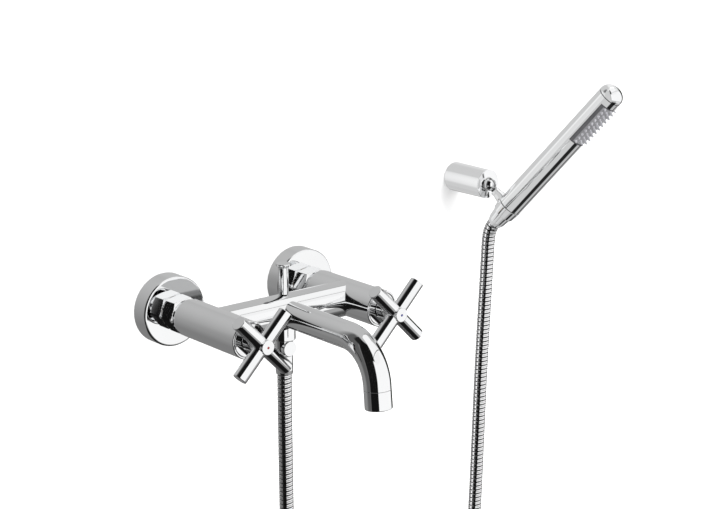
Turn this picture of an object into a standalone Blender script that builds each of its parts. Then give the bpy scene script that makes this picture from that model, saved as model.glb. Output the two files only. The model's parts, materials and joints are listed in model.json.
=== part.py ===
"""Wall mounted bath and shower mixer with a hand shower on a wall holder.

Metres, +Z up. The wall is the plane Y = 0 and the room is on its -Y side. The origin lies on the wall,
midway between the two water inlets. Hot is on the left, at -X, and cold on the right, at +X.
"""

import math

import bmesh
import bpy
from mathutils import Matrix, Vector

# Driving dimensions, in metres. A name ending in _OUT is a distance from the wall.
INLET_SPACING = 0.150
FLANGE_RADIUS, FLANGE_OUT = 0.0326, 0.018
NUT_RADIUS, NUT_BACK_OUT, NUT_FRONT_OUT = 0.0173, 0.0188, 0.0350
NUT_TURN = math.radians(8)
BARREL_RADIUS, BARREL_BACK_OUT, BARREL_FRONT_OUT = 0.01725, 0.0404, 0.1305
CROSSBAR_RADIUS, CROSSBAR_OUT = 0.0168, 0.0814
CHAMBER_RADIUS, PASSAGE_RADIUS = 0.0132, 0.0080
SEAT_OUT = 0.0700
HANDLE_OUT, CAP_SEAT_OUT, HUB_FRONT_OUT = 0.1498, 0.1556, 0.1580
SPOKE_RADIUS, SPOKE_REACH = 0.0066, 0.0355
SPOUT_RADIUS, SPOUT_BORE = 0.0123, 0.0103
SPOUT_BEND_OUT, SPOUT_BEND_RADIUS, SPOUT_BEND_ANGLE = 0.1732, 0.0394, math.radians(84.2)
SPOUT_TAIL, AERATOR_LENGTH = 0.0035, 0.0172
KNOB_RADIUS, KNOB_CAP_RADIUS, KNOB_BOTTOM, KNOB_TOP = 0.0047, 0.0069, 0.0178, 0.0456
NECK_RADIUS, NECK_BOTTOM = 0.0106, -0.0256
OUTLET_LEVEL, OUTLET_TUBE_RADIUS, OUTLET_HALF_LENGTH = -0.0330, 0.0071, 0.0094
HOSE_NUT_RADIUS, HOSE_NUT_TOP, HOSE_NUT_BOTTOM = 0.0081, -0.0404, -0.0584
HOSE_DIAMETER = 0.0134
HOLDER_X, HOLDER_Z, SLEEVE_RADIUS, SLEEVE_OUT = 0.2832, 0.0716, 0.0146, 0.0491
BALL_RADIUS, BALL_OUT, ARM_REACH, ARM_DROP = 0.0063, 0.0515, 0.0232, 0.0184
ARM_SWING, STICK_RISE = math.radians(22.1), math.radians(49.5)
CUP_TOP, CUP_BOTTOM, CONE_END = -0.0008, -0.0118, -0.0270
STICK_LENGTH, STICK_RADIUS, STICK_BORE, CAP_HEIGHT = 0.1550, 0.0125, 0.0107, 0.0110
WINDOW_START, WINDOW_END, WINDOW_HALF_ANGLE = 0.0996, 0.1488, math.radians(65.5)
SPRAY_TURN = math.radians(-22.0)
GAP = 0.0003

OUT = Vector((0, -1, 0))
UP = Vector((0, 0, 1))
HEADING = Vector((math.sin(ARM_SWING), -math.cos(ARM_SWING), 0))
STICK = HEADING * math.cos(STICK_RISE) + UP * math.sin(STICK_RISE)
SPRAY_DOWN = HEADING * math.sin(STICK_RISE) - UP * math.cos(STICK_RISE)
SPRAY_FACING = Matrix.Rotation(SPRAY_TURN, 3, STICK) @ SPRAY_DOWN
CROSSBAR_CENTRE = Vector((0, -CROSSBAR_OUT, 0))
HOLDER_AT_WALL = Vector((HOLDER_X, 0, HOLDER_Z))
BALL_CENTRE = HOLDER_AT_WALL + OUT * BALL_OUT
SEAM = BALL_CENTRE + HEADING * ARM_REACH - UP * ARM_DROP
ARM_AIM = SEAM + STICK * -0.0025
SIDES = (("hot", -INLET_SPACING / 2), ("cold", INLET_SPACING / 2))

# The hose's own route, from the hose nut down, round its loop and up to the cone nut.
HOSE_ROUTE = [
    (0.0000, -0.0814, -0.0587),
    (0.0000, -0.0814, -0.0850),
    (0.0002, -0.0814, -0.1250),
    (0.0008, -0.0812, -0.1800),
    (0.0018, -0.0810, -0.2400),
    (0.0036, -0.0808, -0.3000),
    (0.0072, -0.0803, -0.3640),
    (0.0148, -0.0795, -0.4250),
    (0.0290, -0.0778, -0.4820),
    (0.0530, -0.0751, -0.5300),
    (0.0880, -0.0712, -0.5640),
    (0.1320, -0.0663, -0.5784),
    (0.1760, -0.0615, -0.5670),
    (0.2105, -0.0577, -0.5362),
    (0.2340, -0.0552, -0.4900),
    (0.2500, -0.0537, -0.4360),
    (0.2600, -0.0529, -0.3780),
    (0.2660, -0.0525, -0.3180),
    (0.2697, -0.0522, -0.2580),
    (0.2722, -0.0519, -0.1980),
    (0.2745, -0.0517, -0.1380),
    (0.2772, -0.0514, -0.0850),
    (0.2798, -0.0511, -0.0420),
    (0.2819, -0.0508, -0.0080),
    (0.2829, -0.0510, 0.0130),
    (0.2836, -0.0524, 0.0240),
]
# Distances down the hose from the cone nut at which its upper lengths meet.
HOSE_JOINTS = (0, 0.084, 0.168, 0.280)

for leftover in list(bpy.data.objects):
    bpy.data.objects.remove(leftover, do_unlink=True)


def new_collection(name):
    collection = bpy.data.collections.new(name)
    bpy.context.scene.collection.children.link(collection)
    return collection


PARTS = new_collection("wall_mounted_bath_faucet")
HELPERS = new_collection("cutters")


def new_material(name, colour, roughness, metallic):
    material = bpy.data.materials.new(name)
    material.use_nodes = True
    shader = material.node_tree.nodes["Principled BSDF"]
    shader.inputs["Base Color"].default_value = (*colour, 1)
    shader.inputs["Roughness"].default_value = roughness
    shader.inputs["Metallic"].default_value = metallic
    return material


CHROME = new_material("chrome", (0.80, 0.81, 0.82), 0.06, 1.0)
BRASS = new_material("brass", (0.78, 0.60, 0.30), 0.35, 1.0)
STEEL = new_material("steel", (0.62, 0.62, 0.63), 0.30, 1.0)
RUBBER = new_material("rubber", (0.03, 0.03, 0.03), 0.80, 0.0)
CERAMIC = new_material("ceramic", (0.88, 0.87, 0.84), 0.25, 0.0)
GREY_PLASTIC = new_material("grey_plastic", (0.42, 0.42, 0.44), 0.45, 0.0)
WHITE_PLASTIC = new_material("white_plastic", (0.85, 0.85, 0.83), 0.40, 0.0)


def place(obj, look):
    """Puts a finished piece in the object's collection, or a cutter among the helpers when it has no look."""
    if look is None:
        HELPERS.objects.link(obj)
        obj.hide_render = True
        obj.display_type = "WIRE"
    else:
        PARTS.objects.link(obj)
        obj.data.materials.append(look)
    return obj


def facing(axis, side=None):
    """A rotation that takes +Z to axis and, when side is given, +X to side."""
    z = axis.normalized()
    if side is None:
        return z.to_track_quat("Z", "Y").to_matrix().to_4x4()
    x = side.normalized()
    return Matrix((x, z.cross(x), z)).transposed().to_4x4()


def turned(name, look, outline, origin, axis, steps=16):
    """A solid of revolution from (radius, height) points that run down its outer side.

    An outline that starts and ends on the axis makes a solid piece, any other a ring.
    """
    count = len(outline)
    solid = outline[0][0] == 0 and outline[-1][0] == 0
    edges = [(i, (i + 1) % count) for i in range(count - 1 if solid else count)]
    mesh = bpy.data.meshes.new(name)
    mesh.from_pydata([(radius, 0, height) for radius, height in outline], edges, [])
    obj = bpy.data.objects.new(name, mesh)
    obj.matrix_world = Matrix.Translation(origin) @ facing(axis)
    screw = obj.modifiers.new("turn", "SCREW")
    screw.axis = "Z"
    screw.angle = math.tau
    screw.steps = steps
    screw.render_steps = steps
    screw.use_merge_vertices = True
    screw.merge_threshold = 0.00002
    screw.use_smooth_shade = True
    return place(obj, look)


def rod(name, look, radius, start, end, origin, axis, steps=12):
    """A plain round bar between two heights on its axis."""
    outline = [(0, end), (radius, end), (radius, start), (0, start)]
    return turned(name, look, outline, origin, axis, steps)


def ring(name, look, outer, inner, start, end, origin, axis, steps=12):
    """A plain ring or tube between two heights on its axis."""
    outline = [(outer, end), (outer, start), (inner, start), (inner, end)]
    return turned(name, look, outline, origin, axis, steps)


def block(name, look, size, centre, axis=UP, side=None):
    """A box of the given size along side, their common normal and axis."""
    mesh = bpy.data.meshes.new(name)
    shape = bmesh.new()
    bmesh.ops.create_cube(shape, size=1)
    bmesh.ops.scale(shape, vec=size, verts=shape.verts)
    shape.to_mesh(mesh)
    shape.free()
    obj = bpy.data.objects.new(name, mesh)
    obj.matrix_world = Matrix.Translation(centre) @ facing(axis, side)
    return place(obj, look)


def shell_sector(name, look, outer, inner, start, end, half_angle, origin, axis, middle, steps):
    """A part of a tube wall between two heights, to either side of the direction middle."""
    mesh = bpy.data.meshes.new(name)
    shape = bmesh.new()
    rows = []
    for step in range(steps + 1):
        angle = half_angle * (2 * step / steps - 1)
        rows.append([
            shape.verts.new((radius * math.cos(angle), radius * math.sin(angle), height))
            for radius, height in ((outer, end), (outer, start), (inner, start), (inner, end))
        ])
    for here, there in zip(rows, rows[1:]):
        for i in range(4):
            shape.faces.new((here[i], here[(i + 1) % 4], there[(i + 1) % 4], there[i]))
    shape.faces.new(rows[0][::-1])
    shape.faces.new(rows[-1])
    bmesh.ops.recalc_face_normals(shape, faces=shape.faces)
    shape.to_mesh(mesh)
    shape.free()
    obj = bpy.data.objects.new(name, mesh)
    obj.matrix_world = Matrix.Translation(origin) @ facing(axis, middle)
    return place(obj, look)


def ball(name, look, radius, centre):
    mesh = bpy.data.meshes.new(name)
    shape = bmesh.new()
    bmesh.ops.create_uvsphere(shape, u_segments=16, v_segments=10, radius=radius)
    shape.to_mesh(mesh)
    shape.free()
    mesh.shade_smooth()
    obj = bpy.data.objects.new(name, mesh)
    obj.location = centre
    return place(obj, look)


def boolean(target, operation, others):
    for other in others:
        modifier = target.modifiers.new(operation.lower(), "BOOLEAN")
        modifier.operation = operation
        modifier.object = other


def cut(target, *cutters):
    boolean(target, "DIFFERENCE", cutters)


def join(target, *additions):
    boolean(target, "UNION", additions)


def hang_on(name, centre, obj):
    """Parents a finished piece to an empty on its joint's axis and leaves it where it is."""
    pivot = bpy.data.objects.new(name, None)
    pivot.location = centre
    pivot.empty_display_size = 0.01
    PARTS.objects.link(pivot)
    obj.parent = pivot
    obj.matrix_parent_inverse = Matrix.Translation(-centre)


def tube_along(name, look, points, radius, resolution=2, origin=Vector()):
    """A curve with a round section and closed ends through the points."""
    curve = bpy.data.curves.new(name, "CURVE")
    curve.dimensions = "3D"
    curve.bevel_depth = radius
    curve.bevel_resolution = resolution
    curve.use_fill_caps = True
    spline = curve.splines.new("POLY")
    spline.points.add(len(points) - 1)
    for point, position in zip(spline.points, points):
        point.co = (*(position - origin), 1)
    obj = bpy.data.objects.new(name, curve)
    obj.location = origin
    return place(obj, look)


def as_mesh(curve_object, look):
    """The same piece as a mesh with its caps welded, so that it can be cut or joined."""
    name = curve_object.name
    curve_object.name = name + "_curve"
    graph = bpy.context.evaluated_depsgraph_get()
    mesh = bpy.data.meshes.new_from_object(curve_object.evaluated_get(graph))
    shape = bmesh.new()
    shape.from_mesh(mesh)
    bmesh.ops.remove_doubles(shape, verts=shape.verts, dist=0.00001)
    shape.to_mesh(mesh)
    shape.free()
    mesh.materials.clear()
    obj = bpy.data.objects.new(name, mesh)
    obj.matrix_world = curve_object.matrix_world
    bpy.data.objects.remove(curve_object, do_unlink=True)
    return place(obj, look)


def smooth_line(route):
    """Closely spaced points on a smooth curve through the route's points, and each one's distance along it."""
    points = [Vector(point) for point in route]
    ends = [2 * points[0] - points[1], *points, 2 * points[-1] - points[-2]]
    line = []
    for a, b, c, d in zip(ends, ends[1:], ends[2:], ends[3:]):
        for step in range(20):
            t = step / 20
            line.append(0.5 * (2 * b + (c - a) * t + (2 * a - 5 * b + 4 * c - d) * t**2
                               + (3 * b - a - 3 * c + d) * t**3))
    line.append(points[-1])
    reach = [0.0]
    for a, b in zip(line, line[1:]):
        reach.append(reach[-1] + (b - a).length)
    return line, reach


def stretch_of(line, reach, start, end, spacing):
    """Evenly spaced points between two distances along the line."""
    count = max(2, round((end - start) / spacing))
    points = []
    i = 0
    for step in range(count + 1):
        wanted = start + (end - start) * step / count
        while i < len(line) - 2 and reach[i + 1] < wanted:
            i += 1
        points.append(line[i].lerp(line[i + 1], (wanted - reach[i]) / (reach[i + 1] - reach[i])))
    return points


def make_inlet(side, x):
    """One water inlet: cover flange, eccentric union in the wall, washer and union nut."""
    at_wall = Vector((x, 0, 0))
    rim = 0.0015
    turned(f"{side}_wall_flange", CHROME, [
        (FLANGE_RADIUS - rim, FLANGE_OUT),
        (FLANGE_RADIUS - rim * 0.3, FLANGE_OUT - rim * 0.3),
        (FLANGE_RADIUS, FLANGE_OUT - rim),
        (FLANGE_RADIUS, 0),
        (FLANGE_RADIUS - 0.0030, 0),
        (FLANGE_RADIUS - 0.0030, FLANGE_OUT - 0.0025),
        (0.0138, FLANGE_OUT - 0.0025),
        (0.0138, FLANGE_OUT),
    ], at_wall, OUT, steps=32)

    offset = 0.0070
    union = rod(f"{side}_eccentric_union", BRASS, 0.0132, 0.0010, 0.0270, at_wall, OUT)
    in_wall = at_wall + UP * offset
    join(union,
         rod(f"{side}_union_flare", None, 0.0175, 0.0020, 0.0100, at_wall + UP * offset / 2, OUT),
         rod(f"{side}_union_thread", None, 0.0104, -0.0160, 0.0060, in_wall, OUT))
    cut(union,
        rod(f"{side}_union_bore", None, 0.0095, 0.0030, 0.0300, at_wall, OUT),
        rod(f"{side}_union_entry", None, 0.0075, -0.0200, 0.0050, in_wall, OUT))

    ring(f"{side}_inlet_washer", RUBBER, 0.0126, 0.0085, 0.0273, 0.0293, at_wall, OUT)

    nut = rod(f"{side}_union_nut", CHROME, NUT_RADIUS, NUT_BACK_OUT, NUT_FRONT_OUT, at_wall, OUT, steps=6)
    nut.matrix_world = nut.matrix_world @ Matrix.Rotation(NUT_TURN, 4, "Z")
    chamfer, corner = 0.0012, NUT_RADIUS * 1.01
    flat = NUT_RADIUS * math.cos(math.pi / 6)
    rounded = turned(f"{side}_nut_chamfer", None, [
        (0, NUT_FRONT_OUT + 0.0010),
        (flat - 0.0010, NUT_FRONT_OUT + 0.0010),
        (corner, NUT_FRONT_OUT - chamfer),
        (corner, NUT_BACK_OUT + chamfer),
        (flat - 0.0010, NUT_BACK_OUT - 0.0010),
        (0, NUT_BACK_OUT - 0.0010),
    ], at_wall, OUT)
    boolean(nut, "INTERSECT", [rounded])
    cut(nut, turned(f"{side}_nut_bore", None, [
        (0, NUT_FRONT_OUT + 0.0050),
        (0.0115, NUT_FRONT_OUT + 0.0050),
        (0.0115, 0.0322),
        (0.0136, 0.0322),
        (0.0136, NUT_BACK_OUT - 0.0050),
        (0, NUT_BACK_OUT - 0.0050),
    ], at_wall, OUT))


def barrel_outline():
    """A barrel with its inlet spigot, rear water way, valve seat and valve chamber, all bored through."""
    edge = 0.0012
    return [
        (BARREL_RADIUS - edge, BARREL_FRONT_OUT),
        (BARREL_RADIUS - edge * 0.3, BARREL_FRONT_OUT - edge * 0.3),
        (BARREL_RADIUS, BARREL_FRONT_OUT - edge),
        (BARREL_RADIUS, BARREL_BACK_OUT + edge),
        (BARREL_RADIUS - edge, BARREL_BACK_OUT),
        (0.0110, BARREL_BACK_OUT),
        (0.0110, 0.0319),
        (0.0130, 0.0319),
        (0.0130, 0.0296),
        (0.0000, 0.0296),
    ]


def make_mixer_body():
    """Two barrels, the crossbar and the shower outlet neck as one hollow casting."""
    top = [(0, BARREL_FRONT_OUT)]
    barrels = [
        turned("mixer_body" if x < 0 else "right_barrel", CHROME if x < 0 else None,
               top + barrel_outline(), Vector((x, 0, 0)), OUT, steps=24)
        for side, x in SIDES
    ]
    body = barrels[0]
    half = INLET_SPACING / 2
    crossbar = rod("crossbar", None, CROSSBAR_RADIUS, -half, half, CROSSBAR_CENTRE, Vector((1, 0, 0)), 24)
    neck = rod("outlet_neck", None, NECK_RADIUS, NECK_BOTTOM, -0.0050, CROSSBAR_CENTRE, UP, 16)
    join(body, barrels[1], crossbar, neck)
    for side, x in SIDES:
        cut(body, turned(f"{side}_water_way", None, [
            (0, BARREL_FRONT_OUT + 0.0050),
            (0.0153, BARREL_FRONT_OUT + 0.0050),
            (0.0153, BARREL_FRONT_OUT - 0.0070),
            (CHAMBER_RADIUS, BARREL_FRONT_OUT - 0.0070),
            (CHAMBER_RADIUS, SEAT_OUT),
            (0.0055, SEAT_OUT),
            (0.0055, SEAT_OUT - 0.0040),
            (0.0085, SEAT_OUT - 0.0040),
            (0.0085, 0.0250),
            (0, 0.0250),
        ], Vector((x, 0, 0)), OUT, steps=20))
    cut(body,
        rod("mixing_passage", None, PASSAGE_RADIUS, -half, half, CROSSBAR_CENTRE, Vector((1, 0, 0))),
        rod("diverter_chamber", None, 0.0074, -0.0130, 0.0060, CROSSBAR_CENTRE, UP),
        rod("diverter_seat", None, 0.0048, -0.0220, -0.0120, CROSSBAR_CENTRE, UP),
        rod("outlet_socket", None, 0.0070, -0.0300, -0.0190, CROSSBAR_CENTRE, UP),
        rod("bush_hole", None, 0.0044, 0.0050, 0.0250, CROSSBAR_CENTRE, UP),
        rod("spout_hole", None, 0.0099, CROSSBAR_OUT + 0.0090, CROSSBAR_OUT + 0.0300, Vector(), OUT))


def make_headwork(side, x):
    """A quarter-turn ceramic valve in its barrel, with the bonnet that closes the barrel."""
    at_wall = Vector((x, 0, 0))
    across = Vector((1, 0, 0))
    ring(f"{side}_valve_seal", RUBBER, 0.0095, 0.0060, 0.0703, 0.0723, at_wall, OUT)

    ports = [
        block(f"{side}_disc_ports_{i}", None, (0.0040, 0.0070, 0.0200),
              at_wall + OUT * 0.0745 + across * 0.0045 * sign, OUT, across)
        for i, sign in enumerate((-1, 1))
    ]
    fixed = rod(f"{side}_fixed_disc", CERAMIC, 0.0084, 0.0726, 0.0756, at_wall, OUT)
    cut(fixed, *ports)

    moving = rod(f"{side}_moving_disc", CERAMIC, 0.0083, 0.0759, 0.0789, at_wall, OUT)
    cut(moving, *[
        block(f"{side}_moving_ports_{i}", None, (0.0060, 0.0050, 0.0200),
              at_wall + OUT * 0.0775 + UP * 0.0080 * sign, OUT, across)
        for i, sign in enumerate((-1, 1))
    ])

    body = turned(f"{side}_valve_body", BRASS, [
        (0.0075, 0.1235),
        (0.0075, 0.1190),
        (0.0128, 0.1190),
        (0.0128, 0.1060),
        (0.0105, 0.1060),
        (0.0105, 0.0726),
        (0.0088, 0.0726),
        (0.0088, 0.0830),
        (0.0047, 0.0830),
        (0.0047, 0.1235),
    ], at_wall, OUT, steps=16)
    cut(body, block(f"{side}_cage_windows", None, (0.0300, 0.0080, 0.0030),
                    at_wall + OUT * 0.0775, OUT, across))

    spindle = turned(f"{side}_spindle", BRASS, [
        (0, 0.1400),
        (0.0044, 0.1400),
        (0.0044, 0.0815),
        (0.0078, 0.0815),
        (0.0078, 0.0792),
        (0, 0.0792),
    ], at_wall, OUT, steps=16)
    cut(spindle, rod(f"{side}_spindle_thread", None, 0.0023, 0.1260, 0.1450, at_wall, OUT, 12))

    turned(f"{side}_bonnet", CHROME, [
        (0.0144, BARREL_FRONT_OUT - 0.0004),
        (0.0149, BARREL_FRONT_OUT - 0.0009),
        (0.0149, BARREL_FRONT_OUT - 0.0066),
        (0.0084, BARREL_FRONT_OUT - 0.0066),
        (0.0084, BARREL_FRONT_OUT - 0.0004),
    ], at_wall, OUT, steps=24)


def make_handle(side, x):
    """The cross handle, its screw and its index cap, on the spindle's axis."""
    at_wall = Vector((x, 0, 0))
    handle = turned(f"{side}_cross_handle", CHROME, [
        (0, CAP_SEAT_OUT + 0.0020),
        (0.0070, CAP_SEAT_OUT + 0.0020),
        (0.0070, HANDLE_OUT - 0.0040),
        (0.0078, HANDLE_OUT - 0.0075),
        (0.0078, BARREL_FRONT_OUT - 0.0050),
        (0, BARREL_FRONT_OUT - 0.0050),
    ], at_wall, OUT)
    centre = at_wall + OUT * HANDLE_OUT
    edge = 0.0006
    for i, radius in enumerate((SPOKE_RADIUS, SPOKE_RADIUS - 0.0001)):
        angle = math.radians(45 + 90 * i)
        bar = turned(f"{side}_spokes_{i}", None, [
            (0, SPOKE_REACH),
            (radius - edge, SPOKE_REACH),
            (radius, SPOKE_REACH - edge),
            (radius, edge - SPOKE_REACH),
            (radius - edge, -SPOKE_REACH),
            (0, -SPOKE_REACH),
        ], centre, Vector((math.cos(angle), 0, math.sin(angle))), steps=16 - 2 * i)
        join(handle, bar)
    cut(handle,
        rod(f"{side}_spindle_hole", None, 0.0047, 0.1200, 0.1405, at_wall, OUT, 12),
        rod(f"{side}_screw_hole", None, 0.0025, 0.1380, 0.1500, at_wall, OUT, 12),
        rod(f"{side}_cap_hole", None, 0.0045, 0.1470, 0.1700, at_wall, OUT, 12),
        rod(f"{side}_cap_seat", None, 0.0073, CAP_SEAT_OUT, 0.1700, at_wall, OUT))

    screw = turned(f"{side}_handle_screw", STEEL, [
        (0, 0.1500),
        (0.0036, 0.1500),
        (0.0036, 0.1473),
        (0.0020, 0.1473),
        (0.0020, 0.1290),
        (0, 0.1290),
    ], at_wall, OUT, steps=12)
    cut(screw, rod(f"{side}_screw_socket", None, 0.0015, 0.1485, 0.1520, at_wall, OUT, 6))

    turned(f"{side}_index_cap", CHROME, [
        (0, HUB_FRONT_OUT),
        (0.0061, HUB_FRONT_OUT),
        (0.0066, HUB_FRONT_OUT - 0.0005),
        (0.0066, CAP_SEAT_OUT + GAP),
        (0.0042, CAP_SEAT_OUT + GAP),
        (0.0042, HUB_FRONT_OUT - 0.0050),
        (0, HUB_FRONT_OUT - 0.0050),
    ], at_wall, OUT)


def make_diverter():
    """The pull-up diverter: its knob, rod and piston slide up, and its spring pushes them back down."""
    turned("diverter_knob", CHROME, [
        (0, KNOB_TOP),
        (KNOB_CAP_RADIUS - 0.0005, KNOB_TOP),
        (KNOB_CAP_RADIUS, KNOB_TOP - 0.0005),
        (KNOB_CAP_RADIUS, KNOB_TOP - 0.0027),
        (KNOB_RADIUS + 0.0008, KNOB_TOP - 0.0036),
        (KNOB_RADIUS, KNOB_TOP - 0.0062),
        (KNOB_RADIUS, KNOB_BOTTOM),
        (0.0028, KNOB_BOTTOM),
        (0.0028, KNOB_BOTTOM + 0.0130),
        (0, KNOB_BOTTOM + 0.0130),
    ], CROSSBAR_CENTRE, UP)
    rod("diverter_rod", BRASS, 0.0020, -0.0093, KNOB_BOTTOM + 0.0120, CROSSBAR_CENTRE, UP, 12)
    ring("diverter_bush", BRASS, 0.0041, 0.0023, 0.0085, 0.0158, CROSSBAR_CENTRE, UP, 12)
    turned("diverter_piston", RUBBER, [
        (0, -0.0096),
        (0.0058, -0.0096),
        (0.0068, -0.0106),
        (0.0068, -0.0127),
        (0, -0.0127),
    ], CROSSBAR_CENTRE, UP)

    turns, coil_radius, bottom, top = 4, 0.0034, -0.0086, 0.0075
    points = []
    for step in range(turns * 8 + 1):
        angle = math.tau * step / 8
        height = bottom + (top - bottom) * step / (turns * 8)
        points.append(CROSSBAR_CENTRE + Vector((coil_radius * math.cos(angle), coil_radius * math.sin(angle), height)))
    tube_along("diverter_spring", STEEL, points, 0.0004, resolution=0, origin=CROSSBAR_CENTRE)


def spout_path(first_out, tail):
    """Points along the spout's centre line from a distance out of the wall to a length past its bend."""
    points = [OUT * first_out]
    steps = 10
    for i in range(steps + 1):
        angle = SPOUT_BEND_ANGLE * i / steps
        points.append(Vector((
            0,
            -SPOUT_BEND_OUT - SPOUT_BEND_RADIUS * math.sin(angle),
            -SPOUT_BEND_RADIUS * (1 - math.cos(angle)),
        )))
    points.append(points[-1] + SPOUT_MOUTH_AXIS * tail)
    return points


SPOUT_MOUTH_AXIS = Vector((0, -math.cos(SPOUT_BEND_ANGLE), -math.sin(SPOUT_BEND_ANGLE)))


def make_spout():
    """The bent spout tube on its nipple, with the aerator in its mouth."""
    spout = as_mesh(tube_along("spout_tube", None, spout_path(CROSSBAR_OUT, SPOUT_TAIL), SPOUT_RADIUS, 5), CHROME)
    bore = as_mesh(tube_along("spout_bore", None, spout_path(0.0700, 0.0300), SPOUT_BORE, 4), None)
    saddle = rod("spout_saddle", None, CROSSBAR_RADIUS + GAP, -0.0300, 0.0300, CROSSBAR_CENTRE,
                 Vector((1, 0, 0)), 28)
    cut(spout, bore, saddle)
    ring("spout_nipple", BRASS, 0.0096, 0.0076, 0.0935, 0.1150, Vector(), OUT)

    mouth = spout_path(CROSSBAR_OUT, SPOUT_TAIL)[-1]
    housing = AERATOR_LENGTH
    turned("aerator_housing", CHROME, [
        (0.0098, -GAP),
        (0.0095, -housing),
        (SPOUT_RADIUS - 0.0007, -housing),
        (SPOUT_RADIUS, -housing + 0.0006),
        (SPOUT_RADIUS, -GAP),
    ][::-1], mouth, -SPOUT_MOUTH_AXIS, steps=24)
    rod("aerator_insert", WHITE_PLASTIC, 0.0091, -housing + 0.0010, -housing + 0.0110, mouth, -SPOUT_MOUTH_AXIS)


def make_outlet():
    """The shower outlet under the crossbar: its body, the plug in its front and its check valve."""
    body = rod("outlet_body", CHROME, 0.0083, -0.0397, NECK_BOTTOM - GAP, CROSSBAR_CENTRE, UP)
    level = CROSSBAR_CENTRE + UP * OUTLET_LEVEL
    join(body,
         rod("outlet_spigot", None, 0.0067, -0.0270, -0.0193, CROSSBAR_CENTRE, UP),
         rod("outlet_thread", None, 0.0064, -0.0520, -0.0380, CROSSBAR_CENTRE, UP),
         rod("outlet_cross_tube", None, OUTLET_TUBE_RADIUS, -OUTLET_HALF_LENGTH, OUTLET_HALF_LENGTH - 0.0010,
             level, OUT))
    cut(body,
        rod("outlet_bore", None, 0.0042, -0.0600, -0.0150, CROSSBAR_CENTRE, UP, 12),
        rod("plug_hole", None, 0.0049, 0, 0.0150, level, OUT, 12))
    turned("outlet_plug", CHROME, [
        (0, OUTLET_HALF_LENGTH),
        (OUTLET_TUBE_RADIUS - 0.0003, OUTLET_HALF_LENGTH),
        (OUTLET_TUBE_RADIUS, OUTLET_HALF_LENGTH - 0.0003),
        (OUTLET_TUBE_RADIUS, OUTLET_HALF_LENGTH - 0.0007),
        (0.0046, OUTLET_HALF_LENGTH - 0.0007),
        (0.0046, 0.0046),
        (0, 0.0046),
    ], level, OUT)
    ring("check_valve", WHITE_PLASTIC, 0.0039, 0.0020, -0.0510, -0.0410, CROSSBAR_CENTRE, UP, 12)


def make_hose():
    """The hose nut and washer, the hose in its stretches, and the cone nut on the hose's upper ferrule."""
    turned("hose_nut", CHROME, [
        (HOSE_NUT_RADIUS - 0.0004, HOSE_NUT_TOP),
        (HOSE_NUT_RADIUS, HOSE_NUT_TOP - 0.0004),
        (HOSE_NUT_RADIUS, HOSE_NUT_BOTTOM + 0.0030),
        (HOSE_NUT_RADIUS - 0.0010, HOSE_NUT_BOTTOM),
        (0.0045, HOSE_NUT_BOTTOM),
        (0.0045, HOSE_NUT_BOTTOM + 0.0035),
        (0.0067, HOSE_NUT_BOTTOM + 0.0035),
        (0.0067, HOSE_NUT_TOP),
    ], CROSSBAR_CENTRE, UP)
    ring("hose_washer", RUBBER, 0.0063, 0.0040, -0.0543, -0.0524, CROSSBAR_CENTRE, UP, 12)

    hose_end = SEAM + STICK * (CONE_END - GAP)
    line, reach = smooth_line([*HOSE_ROUTE, hose_end - STICK * 0.0020, hose_end])
    whole = reach[-1]
    names = ("hose_end_length", "hose_tilt_length", "hose_swing_length")
    for name, near, far in zip(names, HOSE_JOINTS, HOSE_JOINTS[1:]):
        points = stretch_of(line, reach, whole - far + GAP, whole - near, HOSE_DIAMETER * 1.5)
        if near == 0:
            points.insert(-1, hose_end - STICK * 0.0020)
        tube_along(name, STEEL, points, HOSE_DIAMETER / 2, origin=BALL_CENTRE)
    points = stretch_of(line, reach, 0, whole - HOSE_JOINTS[-1], HOSE_DIAMETER * 2.3)
    tube_along("shower_hose", STEEL, points, HOSE_DIAMETER / 2)

    turned("cone_nut", CHROME, [
        (0.0110, -0.0004),
        (0.0103, CUP_BOTTOM),
        (0.0090, -0.0225),
        (0.0073, CONE_END),
        (0.0054, CONE_END),
        (0.0054, -0.0132),
        (0.0082, -0.0132),
        (0.0082, -0.0004),
    ], SEAM, STICK, steps=24)
    ring("cone_washer", RUBBER, 0.0078, 0.0045, -0.0111, -0.0093, SEAM, STICK, 12)
    turned("hose_ferrule", BRASS, [
        (0.0078, -0.0114),
        (0.0078, -0.0129),
        (0.0051, -0.0129),
        (0.0051, CONE_END),
        (0.0035, CONE_END),
        (0.0035, -0.0114),
    ], SEAM, STICK, steps=16)


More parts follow.
